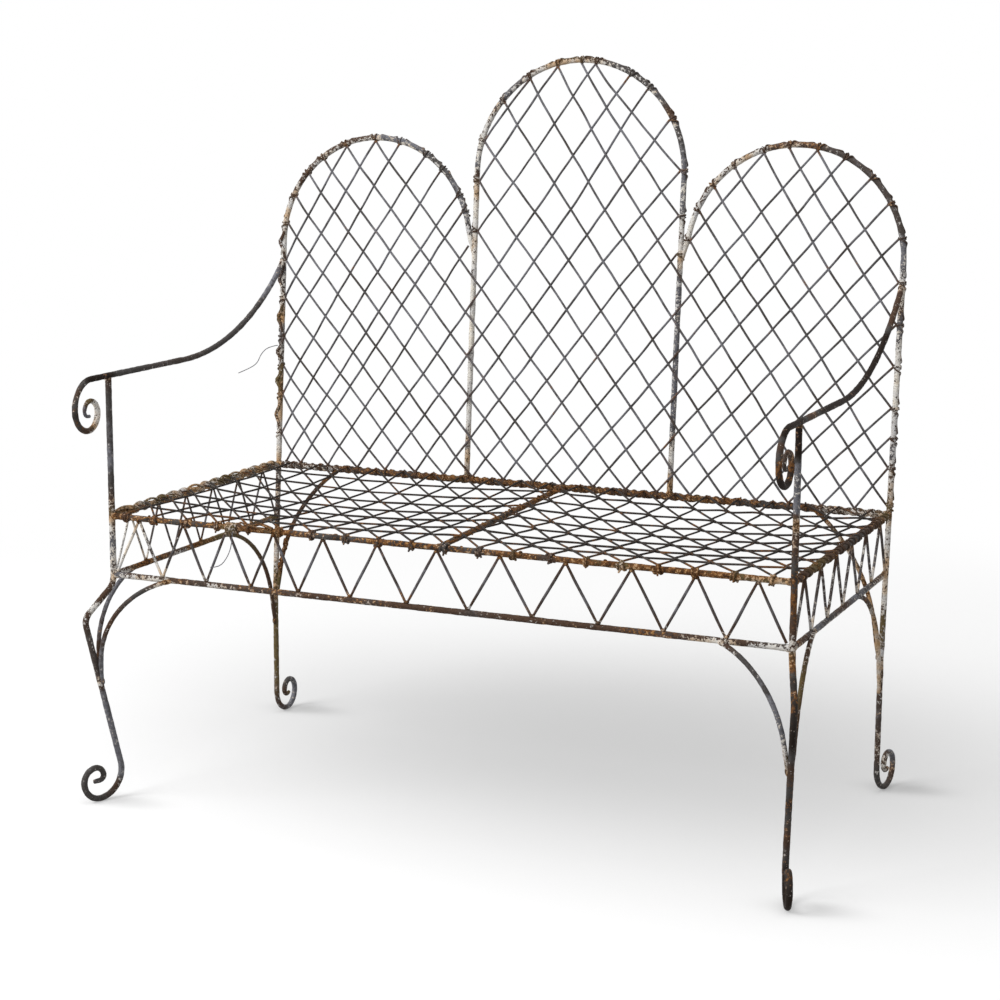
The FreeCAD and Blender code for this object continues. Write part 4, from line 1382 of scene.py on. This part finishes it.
# %% Copies of the bead
copies = []
for place, heading, width, length in beads:
    copy = bead.copy()
    copy.data = bead.data.copy()
    bpy.context.collection.objects.link(copy)
    copy.location = place * MM
    turned = heading.to_track_quat("X", "Z") @ Quaternion((1, 0, 0), dice.uniform(*ALL_ROUND))
    copy.rotation_euler = turned.to_euler()
    copy.scale = Vector((length, width, width)) * MM
    copies.append(copy)
choose(*copies)
bpy.ops.object.transform_apply(location=True, rotation=True, scale=True)
bpy.ops.object.join()
welds = bpy.context.object
welds.name = "weld_beads"
welds.data.name = "weld_beads"
bpy.data.objects.remove(bead)


def weld_wear(place, normal):
    """The finish of the rod below, with a little less paint and more rust."""
    seat = seat_near(place)
    paint, rust, slate, _ = finish_at(WEAR[seat.rod], seat.along)
    patch = noise.noise(place / 12)
    return (0.75 * paint + 0.10 + 0.15 * patch, rust + 0.15 + 0.3 * patch, 0.7 * slate, 0.7)


stain(welds, weld_wear)
settle(welds, "rusted_iron")
print("weld faces:", len(welds.data.polygons))

# %% [markdown]
# ## Loose ends of wire
#
# Two thin ends of wire have come loose: one stands off the left upright, one hangs below the
# front rail. Both are stiff, and keep the bends that they got when they were cut.

# %% Loose ends
TAIL_POINTS = {
    "loose_tail_upright": (
        (0, 0, 0), (0, -33, 1), (0, -58, -9), (0, -69, -23), (0, -99, -29), (0, -132, -32)),
    "loose_tail_front": ((0, 0, 3), (-1, 0, -23), (-10, 0, -45), (-24, 0, -61), (-39, 0, -62)),
}


def tail_wear(place, normal):
    return (0.1, 0.1, 0.8, 0.3)


for name, offsets in TAIL_POINTS.items():
    low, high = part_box(name)
    if name == "loose_tail_upright":
        start = Vector(((low.x + high.x) / 2, high.y, high.z)) / MM - Vector((0, 0, 2))
    else:
        start = Vector((high.x, (low.y + high.y) / 2, high.z)) / MM - Vector((TAIL, 0, 3))
    bar = [(start + Vector(offset), 1) for offset in offsets]
    make_wires(name + "_wire", [bar], TAIL, tail_wear, name)

# %% [markdown]
# ## Writing the finishes as sums
#
# A material is a web of nodes, and most of them only add and multiply. A small class lets the
# sums be written as plain Python: each operator adds the Math node that it stands for.


# %% Sums of sockets
class Tone:
    """A socket of a finish. Operators on it add Math nodes."""

    def __init__(self, tree, socket=None):
        self.tree = tree
        self.socket = socket

    def make(self, kind, settings, sockets, output=0):
        """Any node: its type, its settings, and the values or links of its sockets."""
        node = self.tree.nodes.new(kind)
        for key, value in settings.items():
            setattr(node, key, value)
        for key, value in sockets.items():
            if isinstance(value, Tone):
                self.tree.links.new(value.socket, node.inputs[key])
            else:
                node.inputs[key].default_value = value
        return Tone(self.tree, node.outputs[output] if node.outputs else None)

    def sum(self, operation, first, second):
        return self.make("ShaderNodeMath", {"operation": operation}, {0: first, 1: second})

    def __add__(self, other):
        return self.sum("ADD", self, other)

    def __sub__(self, other):
        return self.sum("SUBTRACT", self, other)

    def __rsub__(self, other):
        return self.sum("SUBTRACT", other, self)

    def __mul__(self, other):
        return self.sum("MULTIPLY", self, other)

    __radd__ = __add__
    __rmul__ = __mul__

    def step(self, low, high):
        """Rises smoothly from 0 to 1 as this goes from low to high."""
        return self.make("ShaderNodeMapRange", {"interpolation_type": "SMOOTHSTEP"},
                         {"Value": self, "From Min": low, "From Max": high})

    def mix(self, first, second):
        """A colour between two colours, by this amount."""
        return self.make("ShaderNodeMix", {"data_type": "RGBA"}, {0: self, 6: first, 7: second}, 2)

    def grain(self, scale, detail):
        """Noise at this place, spread over 0 to 1."""
        raw = self.make("ShaderNodeTexNoise", {}, {
            "Vector": self, "Scale": scale, "Detail": detail, "Roughness": 0.6})
        return raw.make("ShaderNodeMapRange", {}, {
            "Value": raw, "From Min": 0.30, "From Max": 0.70})

    def cover(self, pattern, edge):
        """Where a layer with this amount covers a surface, if the pattern breaks it up."""
        return (self + (pattern - 0.5) * 1.1).step(0.5 - edge, 0.5 + edge)


def colour(red, green, blue):
    """A colour as a screen shows it, from 0 to 255, as the light that it stands for."""
    parts = [part / 255 for part in (red, green, blue)]
    light = [((p + 0.055) / 1.055) ** 2.4 if p > 0.04045 else p / 12.92 for p in parts]
    return (*light, 1)


# %% [markdown]
# ## Old iron
#
# From the metal outwards: dark iron, cold or warm, a slate grey skin, rust, and on top what is
# left of the paint, stained by the rust and with a dark rim along each flake: partly rust at the
# edge, and partly painted shade where the flake's edge steps down. The amounts come from the
# attribute, and noise of three sizes breaks them up into patches, flakes and specks.


# %% The finish of the rods and wires
def old_iron(name, flake_scale, contrast, bump_depth, gloss, spangle):
    """A finish: the scale and contrast of its flakes, its relief, gloss and bright rust."""
    material = bpy.data.materials.new(name)
    material.use_nodes = True
    tree = material.node_tree
    shader = tree.nodes["Principled BSDF"]
    start = Tone(tree)
    place = start.make("ShaderNodeTexCoord", {}, {}, "Object")
    wear = start.make("ShaderNodeAttribute", {"attribute_name": "wear"}, {}, "Color")
    warm = start.make("ShaderNodeAttribute", {"attribute_name": "wear"}, {}, "Alpha")
    paint, rust, slate = [start.make("ShaderNodeSeparateColor", {}, {0: wear}, i) for i in range(3)]
    patch = place.grain(34, 2)
    flake = contrast * (place.grain(flake_scale, 3) - 0.5) + 0.5
    speck = contrast * (place.grain(410, 1) - 0.5) + 0.5

    chips = 1.35 * (0.62 * flake + 0.38 * speck - 0.5) + 0.5
    blotch = 1.3 * (0.35 * patch + 0.40 * flake + 0.25 * speck - 0.5) + 0.5
    painted = paint.cover(chips, 0.10)
    # dark rim along each paint flake: partly rust, partly painted shade at the flake's edge
    flake_rim_rust_and_shade = (paint + 0.14).cover(chips, 0.05)
    rusted = rust.cover(blotch, 0.16)
    greyed = slate.cover(0.5 * patch + 0.5 * flake, 0.35)

    iron = warm.step(0, 0.3).mix(colour(38, 30, 25), colour(80, 77, 75))
    iron = warm.step(0.3, 0.6).mix(iron, colour(82, 63, 51))
    iron = warm.step(0.6, 1).mix(iron, colour(108, 93, 62))
    iron = (0.45 * speck).mix(iron, colour(30, 25, 22))
    slate_skin = (0.6 * flake + 0.4 * speck).mix(colour(68, 69, 75), colour(145, 145, 151))
    rust_skin = flake.step(0.1, 0.8).mix(colour(58, 40, 29), colour(118, 80, 48))
    bright = spangle * speck.step(0.62, 0.86) * flake.step(0.35, 0.7)
    rust_skin = bright.mix(rust_skin, colour(196, 150, 92))
    pale = patch.mix(colour(198, 197, 197), colour(232, 227, 215))
    stained = (rust + 0.6 * (patch - 0.5)).step(0.12, 0.85).mix(pale, colour(208, 172, 128))
    stained = (0.42 * speck.step(0.45, 0.9)).mix(stained, colour(122, 104, 90))

    skin = greyed.mix(iron, slate_skin)
    # the flake rim's dark brown is partly rust and partly painted shade
    skin = (0.6 * flake_rim_rust_and_shade).mix(skin, colour(50, 39, 32))
    skin = rusted.mix(skin, rust_skin)
    skin = (painted * (1 - 0.35 * rusted)).mix(skin, stained)
    height = 0.6 * painted + 0.6 * rusted * flake + 0.3 * speck
    bump = start.make("ShaderNodeBump", {}, {
        "Height": height, "Strength": 0.8, "Distance": bump_depth * MM})
    rough = 0.62 + 0.28 * rusted + 0.10 * painted

    tree.links.new(skin.socket, shader.inputs["Base Color"])
    tree.links.new(rough.socket, shader.inputs["Roughness"])
    tree.links.new(bump.socket, shader.inputs["Normal"])
    shader.inputs["Specular IOR Level"].default_value = gloss
    return material


finish_of = {
    "painted_iron": old_iron("painted_iron_old", 175, 1.0, 0.5, 0.10, 0.7),
    "rusted_iron": old_iron("rusted_iron_old", 195, 1.0, 0.6, 0.04, 0.9),
    "dark_iron": old_iron("dark_iron_old", 165, 0.9, 0.4, 0.05, 0.25),
    "mesh_wire": old_iron("mesh_wire_old", 120, 0.45, 0.2, 0.04, 0.6),
    "wrap_wire": old_iron("tie_wire_old", 240, 0.8, 0.3, 0.05, 0.9),
}
for thing in bpy.data.objects:
    if thing.type == "MESH" and "wear" in thing.data.attributes:
        thing.data.materials.clear()
        thing.data.materials.append(finish_of[thing["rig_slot"]])
print("finishes:", len(finish_of))

# %% [markdown]
# ## Floor and background
#
# The bench stands on a plain pale floor that fades into a white background. A shadow is painted
# into the floor's colour: a soft pool of shade under the bench, and a small spot beside each foot.
# The floor adds a little light of its own for the camera, so that it shows white while the lamps
# stay at a plain level. Far from the bench it shows that white alone.

# %% Floor
choose()
bpy.ops.mesh.primitive_plane_add(size=60, location=(0, 0, 0))
floor = bpy.context.object
floor.name = "floor"
paper = bpy.data.materials.new("pale_floor")
paper.use_nodes = True
tree = paper.node_tree
tree.nodes.clear()
start = Tone(tree)
spot = start.make("ShaderNodeTexCoord", {}, {}, "Object")
WHITE, BLACK, PALE = (1, 1, 1, 1), (0, 0, 0, 1), (0.55, 0.55, 0.55, 1)


def soft_spot(x, y, turn, length, depth):
    """1 at a place on the floor, fading to 0 round it."""
    placed = start.make("ShaderNodeMapping", {"vector_type": "TEXTURE"}, {
        "Vector": spot, "Location": (x, y, 0), "Rotation": (0, 0, turn),
        "Scale": (length, depth, 1)})
    away = start.make("ShaderNodeVectorMath", {"operation": "LENGTH"}, {0: placed}, "Value")
    return start.sum("POWER", 2.718, -1 * start.sum("POWER", away, 2.4))


# painted shadow: a soft pool of shade under the bench, put into the floor's colour
painted_shadow = 0.34 * soft_spot(0.08, 0.35, -0.12, 0.82, 0.60)
FOOTED = ("front_post_left", "front_post_right", *OUTER_ARCHES)
# painted shadow: a small spot of contact shade beside each foot, in the floor's colour
for name in FOOTED:
    foot = min(lines[name], key=lambda p: p.z) * MM
    painted_shadow = painted_shadow + 0.16 * soft_spot(foot.x + 0.035, foot.y + 0.012, 0.1, 0.06, 0.028)
print("spots of shade at the feet:", len(FOOTED))


# %% [markdown]
# Light Path tells whether a ray comes from the camera. Near the bench only such rays, and those
# seen in a gloss or through glass, get the floor's own light, so it doesn't brighten the rods.

# %% Light of the floor
def seen_directly(start):
    """1 for what the camera sees, straight, in a gloss or through glass."""
    direct, gloss, through = [start.make("ShaderNodeLightPath", {}, {}, f"Is {kind} Ray")
                              for kind in ("Camera", "Glossy", "Transmission")]
    return start.sum("MAXIMUM", start.sum("MAXIMUM", direct, gloss), through)


seen = seen_directly(start)
# the painted shadow darkens the floor's diffuse colour and its own light for the camera alike
matt = start.make("ShaderNodeBsdfDiffuse", {}, {"Color": painted_shadow.mix(PALE, BLACK)})
shade = painted_shadow.mix(WHITE, BLACK)
glow = start.make("ShaderNodeEmission", {}, {"Color": shade, "Strength": 0.46 * seen})
near = start.make("ShaderNodeAddShader", {}, {0: matt, 1: glow})
white = start.make("ShaderNodeEmission", {}, {"Color": WHITE, "Strength": 0.5 + 0.5 * seen})
distance = start.make("ShaderNodeVectorMath", {"operation": "LENGTH"}, {0: spot}, "Value")
surface = start.make("ShaderNodeMixShader", {}, {0: distance.step(1.3, 2.4), 1: near, 2: white})
start.make("ShaderNodeOutputMaterial", {}, {"Surface": surface})
floor.data.materials.append(paper)
print("nodes of the floor:", len(tree.nodes))

# %% [markdown]
# The room is white in the same way: full white to the camera, and about half as strong as light.

# %% Background
world = bpy.data.worlds.new("white_room")
bpy.context.scene.world = world
world.use_nodes = True
room = world.node_tree
seen = seen_directly(Tone(room))
light = 0.52 * seen + 0.48
room.links.new(light.socket, room.nodes["Background"].inputs["Strength"])
room.nodes["Background"].inputs["Color"].default_value = WHITE
print("floor and room are set")

# %% [markdown]
# ## Lamps
#
# A large soft lamp at the upper left gives the rods a lit and a dark side, and a weaker one
# overhead keeps the seat readable.


# %% Lamps
def soft_lamp(name, place, target, width, power):
    choose()
    bpy.ops.object.light_add(type="AREA", location=place)
    lamp = bpy.context.object
    lamp.name = name
    lamp.data.size = width
    lamp.data.energy = power
    aim = Vector(target) - Vector(place)
    lamp.rotation_euler = aim.to_track_quat("-Z", "Y").to_euler()


soft_lamp("window", (-2.6, -2.8, 3.2), (0, 0, 0.5), 2.6, 175)
soft_lamp("overhead", (0.4, -0.4, 4.0), (0, 0.1, 0.4), 3.0, 45)
print("lamps:", sum(thing.type == "LIGHT" for thing in bpy.data.objects))

# %% [markdown]
# ## Camera
#
# The camera stands to the right of the bench and looks a little down at it, with a long lens.
# The Standard view shows each colour about as it is written.

# %% Camera
EYE = Vector((1.31834, -3.00025, 1.08837))
YAW, PITCH, ROLL = -0.4134, 0.1876, 0.005
look = Vector((math.sin(YAW) * math.cos(PITCH), math.cos(YAW) * math.cos(PITCH), -math.sin(PITCH)))
choose()
bpy.ops.object.camera_add(location=EYE)
camera = bpy.context.object
turn = look.to_track_quat("-Z", "Y") @ Quaternion((0, 0, 1), ROLL)
camera.rotation_euler = turn.to_euler()
camera.data.sensor_width = 36
camera.data.lens = 79.71
bpy.context.scene.camera = camera
bpy.context.scene.view_settings.view_transform = "Standard"
print("camera at", [round(c, 2) for c in EYE])
